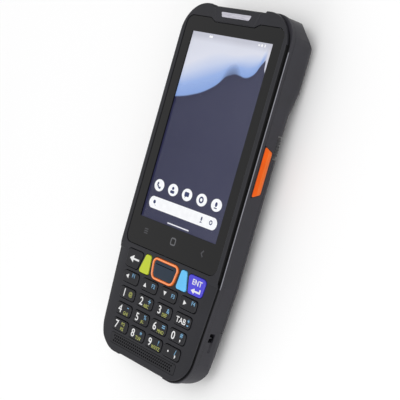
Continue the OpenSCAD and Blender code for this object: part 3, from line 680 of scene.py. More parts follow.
def evened(made: bpy.types.Object) -> bpy.types.Object:
    """Weights the normals by face area, so that broad faces look flat beside their rounded edges.

    Args:
        made: The object, which is replaced.

    Returns:
        The new object.
    """
    weigh = made.modifiers.new("even", "WEIGHTED_NORMAL")
    weigh.keep_sharp = True
    weigh.weight = 90
    name = made.name
    made.name = name + "_raw"
    return plain_copy(made, name)


def evaluated(source: bpy.types.Object) -> bpy.types.Mesh:
    """Returns the mesh that an object has after its modifiers, and removes the object.

    Args:
        source: The object, which is removed.

    Returns:
        The mesh.
    """
    bpy.context.view_layer.update()
    mesh = bpy.data.meshes.new_from_object(source.evaluated_get(bpy.context.evaluated_depsgraph_get()))
    bpy.data.objects.remove(source)
    return mesh


def plain_copy(source: bpy.types.Object, name: str) -> bpy.types.Object:
    """Returns a new object that holds the evaluated mesh of another, and removes that one.

    Args:
        source: The object, which is removed.
        name: The new object's name.

    Returns:
        The new object.
    """
    mesh = evaluated(source)
    mesh.name = name
    return placed(name, mesh)


def winding(spot: Vector, line: list[Vector]) -> int:
    """Counts how often a closed line goes round a point.

    Args:
        spot: The point.
        line: The line's points, in order.

    Returns:
        The number of turns, counter-clockwise ones less clockwise ones.
    """
    turns = 0
    for start, end in zip(line, line[1:] + line[:1]):
        rises = end.y > spot.y
        if (start.y > spot.y) != rises:
            side = (end - start).cross(spot - start)
            if (side > 0) == rises:
                turns += 1 if rises else -1
    return turns


def refill(mesh: bpy.types.Mesh, slack: float = 0.005, near: float = 1e-5) -> None:
    """Fills the faces again whose outlines cross themselves after rounding.

    Such a face can be cut into triangles that cover far more than the face. Only the triangles
    that its outline goes round are kept, and those that it goes round clockwise are turned over.

    Args:
        mesh: The mesh to mend.
        slack: The share by which the triangles may cover more than the face.
        near: Points closer than this many millimetres are one.
    """
    with edited(mesh) as work:
        covered: dict[bmesh.types.BMFace, float] = {}
        for first, second, third in work.calc_loop_triangles():
            edge, other = second.vert.co - first.vert.co, third.vert.co - first.vert.co
            covered[first.face] = covered.get(first.face, 0.0) + edge.cross(other).length / 2
        wrong = [face for face, area in covered.items()
                 if area > face.calc_area() * (1 + slack) + slack * MM * MM]
        for face in wrong:
            corners = list(face.verts)
            turn = face.normal.to_track_quat("Z", "Y").to_matrix()
            centre = face.calc_center_median()
            line = [((spot.co - centre) @ turn).xy / MM for spot in corners]
            spots, _, cells, origins, _, _ = geometry.delaunay_2d_cdt(
                line, [], [list(range(len(line)))], CUT_INSIDE, near)
            verts = [corners[origin[0]] if origin else
                     work.verts.new(centre + turn @ Vector((spot.x * MM, spot.y * MM, 0.0)))
                     for spot, origin in zip(spots, origins)]
            for cell in cells:
                middle = sum((spots[at] for at in cell), Vector((0.0, 0.0))) / len(cell)
                ring = [verts[at] for at in cell]
                turns = winding(middle, line)
                if turns and len(set(ring)) == len(ring) and not work.faces.get(ring):
                    work.faces.new(ring if turns > 0 else ring[::-1], face)
        bmesh.ops.delete(work, geom=wrong, context="FACES_ONLY")
        loose = [spot for spot in work.verts if not spot.link_faces]
        bmesh.ops.delete(work, geom=loose, context="VERTS")
    LOG.info("%s: %d faces filled again", mesh.name, len(wrong))


@dataclass(frozen=True)
class Outline:
    """A convex outline with one radius for each corner, counter-clockwise."""

    corners: tuple[Point, ...]
    radii: tuple[float, ...]
    turn: float = 9.0

    def loop(self, inset: float = 0.0) -> list[Point]:
        """Returns the outline moved in, always with the same number of points.

        Args:
            inset: How far it moves in, in millimetres.

        Returns:
            Its points, counter-clockwise.
        """
        n = len(self.corners)
        line: list[Point] = []
        for i in range(n):
            before, here, after = (Vector(self.corners[(i + k) % n]) for k in (-1, 0, 1))
            into, out = (here - before).normalized(), (after - here).normalized()
            first, last = math.atan2(-into.x, into.y), math.atan2(-out.x, out.y)
            sweep = (last - first) % (2 * math.pi)
            reach = self.radii[i] / math.cos(sweep / 2)
            middle = first + sweep / 2
            centre = here - Vector((math.cos(middle), math.sin(middle))) * reach
            steps = max(1, math.ceil(math.degrees(sweep) / self.turn))
            for k in range(steps + 1):
                a = first + sweep * k / steps
                r = self.radii[i] - inset
                line.append((centre.x + r * math.cos(a), centre.y + r * math.sin(a)))
        return line

    def mirrored(self) -> "Outline":
        """Returns the outline mirrored left to right."""
        return Outline(tuple((-x, y) for x, y in reversed(self.corners)), tuple(reversed(self.radii)), self.turn)


def box_outline(x: float, y: float, width: float, height: float, radius: float) -> Outline:
    """Returns a rounded rectangle about a middle point."""
    w, h = width / 2, height / 2
    return Outline(((x - w, y + h), (x - w, y - h), (x + w, y - h), (x + w, y + h)), (radius,) * 4)


def disc(x: float, y: float, rx: float, ry: float, steps: int = 40) -> list[Point]:
    """Returns an ellipse as points.

    Args:
        x: Its middle, across.
        y: Its middle, along.
        rx: Half its width.
        ry: Half its height.
        steps: How many points go round.

    Returns:
        Its points.
    """
    return [
        (x + rx * math.cos(2 * math.pi * i / steps), y + ry * math.sin(2 * math.pi * i / steps)) for i in range(steps)
    ]


@dataclass(frozen=True)
class Softened:
    """A CAD solid copied, cleaned and given small rounded edges."""

    node: str
    finish: Finish
    width: float = 0.2
    steps: int = 2
    angle: float = 40.0
    clean: float = 0.012
    flat: float = 1.0

    def make(self) -> bpy.types.Object:
        """Builds the piece.

        Returns:
            The object, with its place in its mesh.
        """
        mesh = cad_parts[self.node].data.copy()
        with edited(mesh) as work:
            bmesh.ops.remove_doubles(work, verts=work.verts, dist=self.clean * MM)
            bmesh.ops.dissolve_degenerate(work, edges=work.edges, dist=self.clean * MM)
            bmesh.ops.dissolve_limit(work, angle_limit=math.radians(self.flat), verts=work.verts, edges=work.edges,
                                     use_dissolve_boundaries=False)
        mesh.materials.clear()
        mesh.materials.append(self.finish.material())
        raw = linked(mesh, self.node + "_raw")
        bevel = raw.modifiers.new("edges", "BEVEL")
        bevel.width = self.width * MM
        bevel.segments = self.steps
        bevel.limit_method = "ANGLE"
        bevel.angle_limit = math.radians(self.angle)
        bevel.use_clamp_overlap = False
        bevel.miter_outer = "MITER_ARC"
        made = plain_copy(raw, self.node + "_fine")
        refill(made.data)
        made.data.set_sharp_from_angle(angle=math.radians(self.angle))
        low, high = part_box(self.node)
        for spot in made.data.vertices:
            spot.co = [min(max(value, least), most) for value, least, most in zip(spot.co, low, high)]
        return evened(made)


def dress(node: str, finish: Finish) -> None:
    """Gives a CAD node that stays its finish, on the object and not on its mesh.

    Args:
        node: The CAD node.
        finish: Its finish.
    """
    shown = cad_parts[node]
    if not shown.material_slots:
        shown.data.materials.append(finish.material())
    for slot in shown.material_slots:
        slot.link = "OBJECT"
        slot.material = finish.material()
    LOG.info("%s keeps its solid and gets %s", node, finish.value.name)


def seat(piece: bpy.types.Object, body: str, slot: str, *nodes: str) -> bpy.types.Object:
    """Makes a piece ride on a body and hides the CAD nodes that it replaces, if any.

    Args:
        piece: The finished object.
        body: The CAD body that it moves with.
        slot: The record's material slot; not used.
        nodes: CAD nodes that it replaces, if any.

    Returns:
        The same object.
    """
    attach(piece, body)
    if nodes:
        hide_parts(*nodes)
    LOG.info("%s rides on %s, %d faces", piece.name, body, len(piece.data.polygons))
    return piece


# ------------------------------------------------------------------ words and signs


@dataclass(frozen=True)
class Letters:
    """One word or digit, laid flat on a face."""

    words: str
    place: Point
    height: float
    ink: int = 0
    weight: float = 0.016
    squeeze: float = 1.0

    def shapes(self, level: float, thick: float) -> tuple[list[Spot], list[tuple[int, ...]]]:
        """Makes the letters as points in millimetres and faces.

        Args:
            level: Height of the face that carries them.
            thick: How far they stand out of it.

        Returns:
            Points and faces.
        """
        text = bpy.data.curves.new("words", "FONT")
        text.body = self.words
        text.align_x = "CENTER"
        text.align_y = "CENTER"
        text.extrude = 0.05
        text.offset = self.weight
        text.resolution_u = 3
        mesh = evaluated(placed("words", text))
        bpy.data.curves.remove(text)
        xs, ys = [v.co.x for v in mesh.vertices], [v.co.y for v in mesh.vertices]
        gain = self.height / (max(ys) - min(ys))
        mid = ((max(xs) + min(xs)) / 2, (max(ys) + min(ys)) / 2)
        points = [
            (
                self.place[0] + (v.co.x - mid[0]) * gain * self.squeeze,
                self.place[1] + (v.co.y - mid[1]) * gain,
                level + (thick if v.co.z > 0 else 0.0),
            )
            for v in mesh.vertices
        ]
        faces = [tuple(f.vertices) for f in mesh.polygons]
        bpy.data.meshes.remove(mesh)
        return points, faces


@dataclass(frozen=True)
class Sign:
    """A flat sign made of one or more outlines."""

    outlines: tuple[tuple[Point, ...], ...]
    ink: int = 0


def arrow(x: float, y: float, size: float, turn: float) -> Sign:
    """Returns a filled triangle that points along an angle in degrees.

    Args:
        x: Its middle, across.
        y: Its middle, along.
        size: Its size in millimetres.
        turn: Its direction in degrees.

    Returns:
        The sign.
    """
    a = math.radians(turn)
    c, s = math.cos(a) * size, math.sin(a) * size
    line = ((0.62, 0.0), (-0.5, 0.62), (-0.5, -0.62))
    return Sign((tuple((x + p * c - q * s, y + p * s + q * c) for p, q in line),))


def bar(x0: float, y0: float, x1: float, y1: float) -> tuple[Point, ...]:
    """Returns a rectangle from its lower left to its upper right corner."""
    return ((x0, y0), (x1, y0), (x1, y1), (x0, y1))


def legend(
    name: str, items: Sequence[Letters | Sign], level: float, inks: Sequence[Finish], thick: float = 0.02
) -> bpy.types.Object:
    """Builds all the printing of one key or panel as one piece.

    Args:
        name: The piece's name.
        items: Words and signs.
        level: Height of the face that carries them, in millimetres.
        inks: The finish of each ink number.
        thick: How far the printing stands out.

    Returns:
        The object.
    """
    gathered = Solid()
    for item in items:
        if isinstance(item, Letters):
            points, faces = item.shapes(level, thick)
            gathered.add(points, faces, item.ink)
        else:
            for outline in item.outlines:
                gathered.slab(outline, level, level + thick, item.ink)
    return gathered.make(name, inks)


# ------------------------------------------------------------------ repeated pieces


class Repeated:
    """Geometry Nodes that set one small shape at many points."""

    def __init__(self, name: str) -> None:
        """Builds the node group, whose inputs are the points, the shape, its size and its finish.

        Args:
            name: The group's name.
        """
        self.group = bpy.data.node_groups.new(name, "GeometryNodeTree")
        face = self.group.interface
        face.new_socket("Geometry", in_out="OUTPUT", socket_type="NodeSocketGeometry")
        self.inputs = {
            title: face.new_socket(title, in_out="INPUT", socket_type="NodeSocket" + kind).identifier
            for title, kind in (("Points", "Geometry"), ("Shape", "Object"), ("Size", "Float"), ("Finish", "Material"))
        }
        kinds = ("NodeGroupInput", "GeometryNodeMeshToPoints", "GeometryNodeObjectInfo",
                 "GeometryNodeInstanceOnPoints", "GeometryNodeRealizeInstances", "GeometryNodeSetMaterial",
                 "NodeGroupOutput")
        source, points, shape, spread, real, paint, out = (self.group.nodes.new(kind) for kind in kinds)
        for start, title, end, socket in (
            (source, "Points", points, "Mesh"), (source, "Shape", shape, "Object"), (points, 0, spread, "Points"),
            (shape, "Geometry", spread, "Instance"), (source, "Size", spread, "Scale"), (spread, 0, real, 0),
            (real, 0, paint, "Geometry"), (source, "Finish", paint, "Material"), (paint, 0, out, 0),
        ):
            self.group.links.new(start.outputs[title], end.inputs[socket])

    def set_out(self, name: str, shape: Solid, points: Sequence[Spot], finish: Finish) -> bpy.types.Object:
        """Puts a shape at each point and turns the result into one plain mesh.

        Args:
            name: The piece's name.
            shape: The shape about its own origin, in millimetres.
            points: Where it stands, in millimetres.
            finish: Its finish.

        Returns:
            The finished object.
        """
        part = shape.make(name + "_shape", [finish])
        mesh = bpy.data.meshes.new(name + "_points")
        mesh.from_pydata([(x * MM, y * MM, z * MM) for x, y, z in points], [], [])
        carrier = placed(name + "_points", mesh)
        modifier = carrier.modifiers.new("repeat", "NODES")
        modifier.node_group = self.group
        for title, value in (("Shape", part), ("Size", 1.0), ("Finish", finish.material())):
            modifier[self.inputs[title]] = value
        made = plain_copy(carrier, name)
        bpy.data.objects.remove(part)
        return made


def turned_shape(profile: Sequence[Point], steps: int = 24) -> Solid:
    """Returns a closed turned shape from its profile of radius and height, lowest first.

    Args:
        profile: Pairs of radius and height.
        steps: How many points go round.

    Returns:
        The shape.
    """
    made = Solid()
    made.loft([[(r * math.cos(a), r * math.sin(a), z) for a in [2 * math.pi * i / steps for i in range(steps)]]
               for r, z in profile])
    return made


# ------------------------------------------------------------------ sub-assemblies


@dataclass
class FrontFace:
    """Front shell with its badge, grille and seal, and a painted shade and a painted highlight along the groove."""

    badge_y: float = 77.0
    badge_size: Point = (19.2, 2.3)
    badge_top: float = 19.4
    badge_t: float = 0.5
    bevel: float = 0.22
    belt: Outline = Outline(
        ((-34.8, 80.95), (-34.8, -35.0), (-31.62, -80.95), (31.62, -80.95), (34.8, -35.0), (34.8, 80.95)),
        (15.0, 20.0, 13.0, 13.0, 20.0, 15.0),
    )
    bumper: Outline = Outline(((-34.8, 80.95), (-34.8, -32.5), (34.8, -32.5), (34.8, 80.95)), (15.0, 0.01, 0.01, 15.0))
    side_reach: float = 68.0
    # The two rubber profiles are black strips on the housing's ledge, painted shade of the groove; the gloss profile is
    # a light strip on the housing's outer edge, a painted highlight.
    rubber: tuple[Point, ...] = ((17.31, 1.3), (17.31, 0.34), (17.36, 0.3), (17.42, 0.36), (17.46, 1.3))
    bumper_shade_strip: tuple[Point, ...] = ((17.4, 1.3), (17.4, 1.0), (18.7, 1.0), (18.78, 1.05), (18.78, 1.3))
    gloss: tuple[Point, ...] = ((17.02, 0.005), (17.2, 0.03), (17.3, 0.13), (17.33, 0.3), (17.2, 0.3), (17.02, 0.15))
    hole_pitch: float = 1.4
    hole_row: Point = (-75.05, 18.2)
    hole_counts: tuple[int, int] = (30, 3)
    plug: tuple[Point, ...] = ((0.4, 0.0), (0.4, 0.2), (0.2, 0.24))

    def painted_groove(self) -> bpy.types.Object:
        """Builds black rubber strips in the groove between shell and housing, a painted shade where the groove's shade
        falls, with a light strip on the housing's edge, a painted highlight.

        Returns:
            The object, linked into the scene.
        """
        made = Solid()
        made.rail(self.belt, self.rubber)
        arc = len(self.bumper.loop()) // 4
        path = [3 * arc - 1, *range(3 * arc, 4 * arc), *range(arc), arc]
        made.rail(self.bumper, self.bumper_shade_strip, path)
        line = self.belt.loop()
        for side in (1, -1):
            picks = [i for i, (x, y) in enumerate(line) if x * side > 0 and abs(y) < self.side_reach]
            # A light strip along each side: painted highlight on the housing's edge.
            made.rail(self.belt, self.gloss, picks, 1)
        return made.make("groove_gasket", [Finish.GASKET, Finish.EDGE])

    def holes(self) -> bpy.types.Object:
        """Sets a near-black plug into every sound hole of the grille, a painted shade inside the holes.

        Returns:
            The object, linked into the scene.
        """
        pitch, (y, level), (count, rows) = self.hole_pitch, self.hole_row, self.hole_counts
        points = [
            ((i - (count - 1 - row % 2) / 2) * pitch, y + (row - 1) * pitch * math.sin(math.radians(60)), level)
            for row in range(rows)
            for i in range(count - row % 2)
        ]
        return Repeated("sound_holes").set_out("grille_gauze", turned_shape(self.plug, 12), points, Finish.HOLE)

    def badge(self) -> bpy.types.Object:
        """Builds the bare badge with a rounded upper edge.

        Returns:
            The object, linked into the scene.
        """
        w, h = self.badge_size[0] / 2, self.badge_size[1] / 2
        line = Outline(
            ((-w, self.badge_y + h), (-w + h, self.badge_y - h), (w - h, self.badge_y - h), (w, self.badge_y + h)),
            (0.35,) * 4,
        )
        made = Solid()
        low, top = self.badge_top - self.badge_t, self.badge_top
        levels = ((low, 0.0), (top - 0.12, 0.0), (top - 0.03, 0.05), (top, 0.14))
        made.stack(line.loop, levels)
        return made.make("badge_plate_fine", [Finish.BADGE])

    def build(self) -> list[bpy.types.Object]:
        """Builds and seats the pieces of the front.

        Returns:
            The pieces, each seated on its body.
        """
        dress("speaker_grille", Finish.GRILLE)
        dress("perimeter_seal", Finish.SEAL)
        return [
            seat(Softened("front_shell", Finish.SHELL, self.bevel).make(), "housing", "shell_plastic", "front_shell"),
            seat(self.badge(), "housing", "badge_metal", "badge_plate"),
            seat(self.painted_groove(), "housing", "seal_rubber"),
            seat(self.holes(), "housing", "grille_plastic"),
        ]


@dataclass
class Screen:
    """Cover glass over a black print and the lit picture."""

    glass_w: float = 62.6
    glass_top: float = 75.1
    glass_foot: float = -31.6
    glass_r: float = 4.0
    glass_levels: Point = (17.86, 18.57)
    edge: float = 0.15
    notch: Spot = (25.0, 1.7, 3.4)
    picture_w: float = 51.84
    picture_levels: Point = (-18.4, 68.0)
    module_top: float = 17.7
    marks_y: float = -24.2
    print_t: float = 0.03
    film_lap: float = 0.3
    icon_y: float = -2.9
    icons_x: tuple[float, ...] = (-19.8, -10.0, -0.3, 9.5, 19.2)
    icon_size: Point = (3.35, 2.75)

    def outline(self, inset: float) -> list[Point]:
        """Returns the glass outline with its notch for the brow, moved in.

        Args:
            inset: How far it moves in, in millimetres.

        Returns:
            Its points, counter-clockwise.
        """
        middle = (self.glass_top + self.glass_foot) / 2
        line = box_outline(0, middle, self.glass_w, self.glass_top - self.glass_foot, self.glass_r).loop(inset)
        half, deep, slope = self.notch[0] / 2 + inset, self.notch[1], self.notch[2]
        top, floor = self.glass_top - inset, self.glass_top - deep - inset
        return line + [(half + slope * 0.97, top), (half, floor), (-half, floor), (-half - slope * 0.97, top)]

    def glass(self) -> bpy.types.Object:
        """Builds the clear slab with small chamfered edges.

        Returns:
            The object, linked into the scene.
        """
        low, top = self.glass_levels
        levels = ((low, 0.0), (top - self.edge, 0.0), (top - 0.04, 0.06), (top, self.edge))
        made = Solid()
        made.stack(self.outline, levels)
        return made.make("cover_glass_pane", [Finish.GLASS])

    def frame_print(self) -> bpy.types.Object:
        """Builds the thin glossy black border of the glass, open over the picture.

        Returns:
            The object, linked into the scene.
        """
        top = self.glass_levels[1] + self.print_t
        outer = self.outline(self.edge)
        half = self.picture_w / 2
        window = bar(-half, self.picture_levels[0], half, self.picture_levels[1])
        return plate("glass_print", [outer, window], top - self.print_t, top, Finish.PRINT)

    def picture(self) -> bpy.types.Object:
        """Builds the lit picture as a thin film on the module.

        Returns:
            The object, linked into the scene.
        """
        made = Solid()
        half, foot, top = self.picture_w / 2 + self.film_lap, *self.picture_levels
        made.slab(bar(-half, foot - self.film_lap, half, top + self.film_lap),
                  self.module_top + 0.01, self.module_top + 0.06)
        return made.make("lit_picture", [Finish.PICTURE])

    def icons(self) -> bpy.types.Object:
        """Builds the row of round icons, the search bar and the bar at the foot.

        Returns:
            The object, linked into the scene.
        """
        signs = [Sign((tuple(disc(x, self.icon_y, *self.icon_size)),), 0) for x in self.icons_x]
        for shape, ink in (((-0.4, -10.9, 46.2, 5.4, 2.6), 0), ((-0.35, -17.4, 14.7, 0.55, 0.25), 2)):
            signs.append(Sign((tuple(box_outline(*shape).loop()),), ink))
        return legend("screen_signs", signs, self.module_top + 0.075, [Finish.ICON, Finish.GLYPH, Finish.PILL], 0.01)

    def glyphs(self) -> bpy.types.Object:
        """Builds the small generic glyphs on the icons, and the status marks.

        Returns:
            The object, linked into the scene.
        """
        y = self.icon_y
        hand = [(-21.3, y + 1.1), (-20.6, y + 1.5), (-20.2, y + 0.6), (-20.6, y + 0.2), (-19.5, y - 0.8),
                (-19.0, y - 0.4), (-18.4, y - 1.0), (-19.0, y - 1.6), (-20.2, y - 1.2), (-21.4, y)]
        lines = (
            (1, hand[::-1]),
            (1, disc(-10.2, y + 0.7, 0.75, 0.7, 20)), (1, box_outline(-10.2, y - 0.95, 2.8, 1.3, 0.6).loop()),
            (1, box_outline(-0.5, y + 0.2, 3.0, 2.0, 0.5).loop()),
            (1, ((-1.5, y - 0.7), (-0.6, y - 0.7), (-1.5, y - 1.6))),
            (1, disc(19.0, y + 0.25, 0.75, 1.05, 20)), (1, box_outline(19.0, y - 1.35, 1.9, 0.45, 0.2).loop()),
            (1, disc(-19.9, -10.6, 0.85, 0.85, 20)),
            (1, ((-19.5, -11.3), (-19.1, -11.7), (-18.6, -12.3), (-19.0, -12.2))),
            (1, box_outline(12.7, -10.4, 0.9, 1.7, 0.44).loop()),
            (1, bar(12.5, -12.1, 12.9, -11.3)), (1, bar(11.9, -12.2, 13.5, -11.95)),
            (0, bar(16.8, 66.4, 17.9, 67.1)), (0, bar(18.6, 66.2, 19.6, 67.3)), (0, bar(20.6, 66.2, 21.3, 67.4)),
            (0, bar(-14.6, 66.3, -12.4, 67.2)),
        )
        made = Solid()
        level = self.module_top + 0.095
        for ink, line in lines:
            made.slab(line, level, level + 0.01, ink)
        for x, yy, r, hole in ((9.3, y, 1.5, 0.75), (18.8, -10.7, 1.05, 0.55)):
            made.tube(disc(x, yy, r, r, 24), disc(x, yy, hole, hole, 24), level, level + 0.01, 1)
        return made.make("screen_glyphs", [Finish.ICON, Finish.GLYPH])

    def marks(self) -> bpy.types.Object:
        """Builds the three touch marks printed below the picture.

        Returns:
            The object, linked into the scene.
        """
        made = Solid()
        low = self.glass_levels[1] + self.print_t + 0.003
        top = low + 0.006
        y = self.marks_y
        for k in (-1, 0, 1):
            made.slab(bar(-20.3, y + k * 0.95 - 0.24, -17.8, y + k * 0.95 + 0.24), low, top, 1)
        made.tube(box_outline(0.2, y, 3.5, 3.5, 1.0).loop(), box_outline(0.2, y, 2.3, 2.3, 0.5).loop(), low, top, 0)
        for sign in (1, -1):
            line = [(18.8, y), (20.1, y + sign * 1.6), (20.6, y + sign * 1.15), (19.6, y)]
            made.slab(line if sign < 0 else line[::-1], low, top, 1)
        return made.make("touch_marks", [Finish.MARK, Finish.MARK_FAINT])

    def build(self) -> list[bpy.types.Object]:
        """Builds and seats the pieces of the screen.

        Returns:
            The pieces, each seated on its body.
        """
        dress("display_module", Finish.PRINT)
        return [
            seat(self.glass(), "housing", "cover_glass", "glass_panel"),
            seat(self.frame_print(), "housing", "cover_glass"),
            seat(self.picture(), "housing", "display_panel"),
            seat(self.icons(), "housing", "display_panel"),
            seat(self.glyphs(), "housing", "display_panel"),
            seat(self.marks(), "housing", "cover_glass"),
        ]


def plate(name: str, outlines: Sequence[Sequence[Point]], low: float, high: float, finish: Finish) -> bpy.types.Object:
    """Builds a flat plate from an outline and the outlines of its windows.

    Args:
        name: The piece's name.
        outlines: The outer line first, then the windows.
        low: Its underside, in millimetres.
        high: Its upper face, in millimetres.
        finish: Its finish.

    Returns:
        The object, as a closed mesh.
    """
    curve = bpy.data.curves.new(name, "CURVE")
    curve.dimensions = "2D"
    curve.fill_mode = "BOTH"
    curve.extrude = (high - low) / 2 * MM
    for line in outlines:
        spline = curve.splines.new("POLY")
        spline.points.add(len(line) - 1)
        for spot, (x, y) in zip(spline.points, line):
            spot.co = (x * MM, y * MM, 0, 1)
        spline.use_cyclic_u = True
    made = plain_copy(placed(name + "_line", curve), name)
    made.data.transform(Matrix.Translation((0, 0, (low + high) / 2 * MM)))
    with edited(made.data) as work:
        bmesh.ops.remove_doubles(work, verts=work.verts, dist=0.001 * MM)
        bmesh.ops.recalc_face_normals(work, faces=work.faces)
    made.data.materials.clear()
    made.data.materials.append(finish.material())
    return made


@dataclass(frozen=True)
class KeyFace:
    """One key of the keypad: its body, outline, finish and printing."""

    node: str
    outline: Outline
    finish: Finish
    slot: str
    signs: tuple[Letters | Sign, ...] = ()


@dataclass
class Keypad:
    """All keys of the keypad, the ring with its painted glow, and what is printed on them."""

    cap: Spot = (10.8, 5.2, 1.5)
    row_y: float = -46.6
    row_pitch: float = 7.35
    column_pitch: float = 13.5
    column_draw: float = 0.4
    top_y: float = -38.1
    levels: Spot = (16.6, 17.1, 19.0)
    flange: float = 0.4
    fillet: float = 0.5
    ring: Spot = (18.6, 15.2, 9.8)
    ring_radii: Point = (2.6, 3.4)
    ring_w: float = 1.15
    ring_top: float = 19.1
    digit_h: float = 3.6
    small_h: float = 1.8

    def centre(self, column: int, row: int) -> Point:
        """Returns the middle of a cap, counted from the upper left."""
        pitch = self.column_pitch - row * self.column_draw
        return ((column - 1.5) * pitch, self.row_y - row * self.row_pitch)

    def cap_solid(self, outline: Outline) -> Solid:
        """Builds a cap with its flange and rounded upper edge.

        Args:
            outline: The outline of the cap.

        Returns:
            The cap.
        """
        foot, lip, top = self.levels
        loops = [(foot, -self.flange), (lip, -self.flange), (lip, 0.0), (top - self.fillet, 0.0)]
        for k in range(1, 5):
            a = math.radians(90 * k / 4)
            loops.append((top - self.fillet + self.fillet * math.sin(a), self.fillet * (1 - math.cos(a))))
        made = Solid()
        made.stack(outline.loop, loops)
        return made

    def colour_outline(self) -> Outline:
        """Returns the coloured key at the right of the scan key."""
        x, y, h = 10.6, self.top_y, 4.4
        return Outline(((x, y + h), (x - 1, y - h), (x + 6.2, y - h), (x + 3.6, y + h)), (1.2,) * 4)

    def outer_outline(self) -> Outline:
        """Returns the outer key at the right of the top row."""
        x, y, h = 15.7, self.top_y, 4.1
        return Outline(((x, y + h), (x + 2.2, y - h), (x + 11.0, y - h), (x + 11.6, y + h)), (1.4, 1.4, 2.0, 2.0))

    def ring_outline(self) -> Outline:
        """Returns the outer edge of the ring round the scan key.

        Returns:
            The outline.
        """
        wide, slim, h = self.ring[0] / 2, self.ring[1] / 2, self.ring[2] / 2
        y = self.top_y
        return Outline(
            ((-wide, y + h), (-slim, y - h), (slim, y - h), (wide, y + h)),
            (self.ring_radii[0], self.ring_radii[1], self.ring_radii[1], self.ring_radii[0]),
        )

    def faces(self) -> list[KeyFace]:
        """Lists the keys with their printing.

        Returns:
            The keys, row by row.
        """
        white, lime, blue = 0, 1, 2
        d, s = self.digit_h, self.small_h
        grid = [
            [("left", [("F1", 1.8, 1.2, s, blue)], [(-2.3, 0.3, 1.7, 180)]),
             ("up", [("F2", 3.1, 0.7, s, blue)], [(-2.6, -0.2, 1.7, 90)]),
             ("down", [("F3", 3.4, 0.4, s, blue)], [(-2.2, 0.2, 1.7, 270)]),
             ("right", [("F4", 3.3, 1.2, s, blue)], [(-2.0, 0.1, 1.7, 0)])],
            [("1", [("1", -1.8, 0.1, d, white), ("@", 2.7, 0.2, 2.56, lime)], []),
             ("2", [("2", -2.2, 0.0, d, white), ("ABC", 1.6, -1.4, 1.6, lime), ("+", 3.2, 1.0, 1.92, blue)], []),
             ("3", [("3", -2.3, 0.0, d, white), ("DEF", 1.6, -1.4, 1.6, lime), ("&", 3.3, 0.9, 2.05, blue)], []),
             ("tab", [("TAB", -0.7, -0.2, 2.5, white), ("+", 4.0, 0.9, 1.5, blue), ("-", 4.0, -1.1, 0.5, blue)], [])],
            [("4", [("4", -2.2, 0.0, d, white), ("GHI", 2.2, -1.3, 1.66, lime), ("-", 3.0, 1.4, 0.45, blue)], []),
             ("5", [("5", -2.3, 0.0, d, white), ("JKL", 1.8, -1.3, 1.66, lime), ("%", 3.0, 1.1, 1.92, blue)], []),
             ("6", [("6", -2.3, 0.0, d, white), ("MNO", 2.2, -1.4, 1.6, lime), ("=", 3.4, 1.1, 1.28, blue)], []),
             ("0", [("0", -2.2, 0.0, d, white), ("#", 2.9, 1.3, 2.05, blue), (",", 2.7, -1.1, 1.2, white)], [])],
            [("7", [("7", -2.2, 0.1, d, white), ("PQ", 2.1, 1.1, 1.6, lime), ("RS", 2.1, -1.1, 1.6, lime)], []),
             ("8", [("8", -2.3, 0.0, d, white), ("TUV", 1.9, -1.3, 1.66, lime), ("*", 3.0, 1.2, 1.54, blue)], []),
             ("9", [("9", -2.3, 0.0, d, white), ("WXYZ", 2.1, -1.4, 1.6, lime), ("?", 3.3, 1.1, 2.05, blue)], []),
             ("dot", [(".", -2.0, 0.1, 0.9, white), (",", 2.9, -1.0, 1.5, white), ("/", 2.6, 0.8, 2.3, blue)], [])],
        ]
        made: list[KeyFace] = []
        for row, line in enumerate(grid):
            for column, (name, words, arrows) in enumerate(line):
                cx, cy = self.centre(column, row)
                signs: list[Letters | Sign] = [
                    Letters(word, (cx + dx, cy + dy), height, ink, 0.012, 0.85 if len(word) > 2 and ink else 1.0)
                    for word, dx, dy, height, ink in words
                ]
                signs += [arrow(cx + dx, cy + dy, size, turn) for dx, dy, size, turn in arrows]
                shape = box_outline(cx, cy, self.cap[0], self.cap[1], self.cap[2])
                made.append(KeyFace("key_" + name, shape, Finish.CAP, "keycap_plastic", tuple(signs)))
        right, outer, y = self.colour_outline(), self.outer_outline(), self.top_y
        back = Sign((((-24.4, y), (-21.6, y - 1.7), (-21.6, y + 1.7)), bar(-21.6, y - 0.42, -17.6, y + 0.42)), white)
        enter = Sign(
            (((19.6, y - 2.2), (21.8, y - 3.4), (21.8, y - 1.0)), bar(21.8, y - 2.6, 25.6, y - 1.8),
             bar(24.8, y - 1.8, 25.6, y - 0.7)), white,
        )
        made.append(KeyFace("key_yellow", right.mirrored(), Finish.YELLOW, "yellow_plastic"))
        made.append(KeyFace("key_blue", right, Finish.BLUE, "blue_plastic"))
        made.append(KeyFace("key_back", outer.mirrored(), Finish.CAP, "keycap_plastic", (back,)))
        made.append(KeyFace("key_enter", outer, Finish.ENTER, "enter_plastic",
                            (Letters("ENT", (22.4, y + 1.5), 2.4, white), enter)))
        return made

    def scan_key(self) -> bpy.types.Object:
        """Builds the glossy crown of the scan key, slightly domed.

        Returns:
            The object, linked into the scene.
        """
        foot, lip, top = self.levels
        inner = self.ring_w + 0.1
        loops = [(foot, -self.flange), (lip, -self.flange), (lip, inner), (top - 0.4, inner)]
        loops += [(top - 0.25, inner + 0.07), (top - 0.16, inner + 0.25), (top - 0.1, inner + 0.6),
                  (top - 0.04, inner + 1.1), (top - 0.01, inner + 1.6)]
        made = Solid()
        made.stack(self.ring_outline().loop, loops)
        return made.make("key_scan_crown", [Finish.SCAN_CAP])

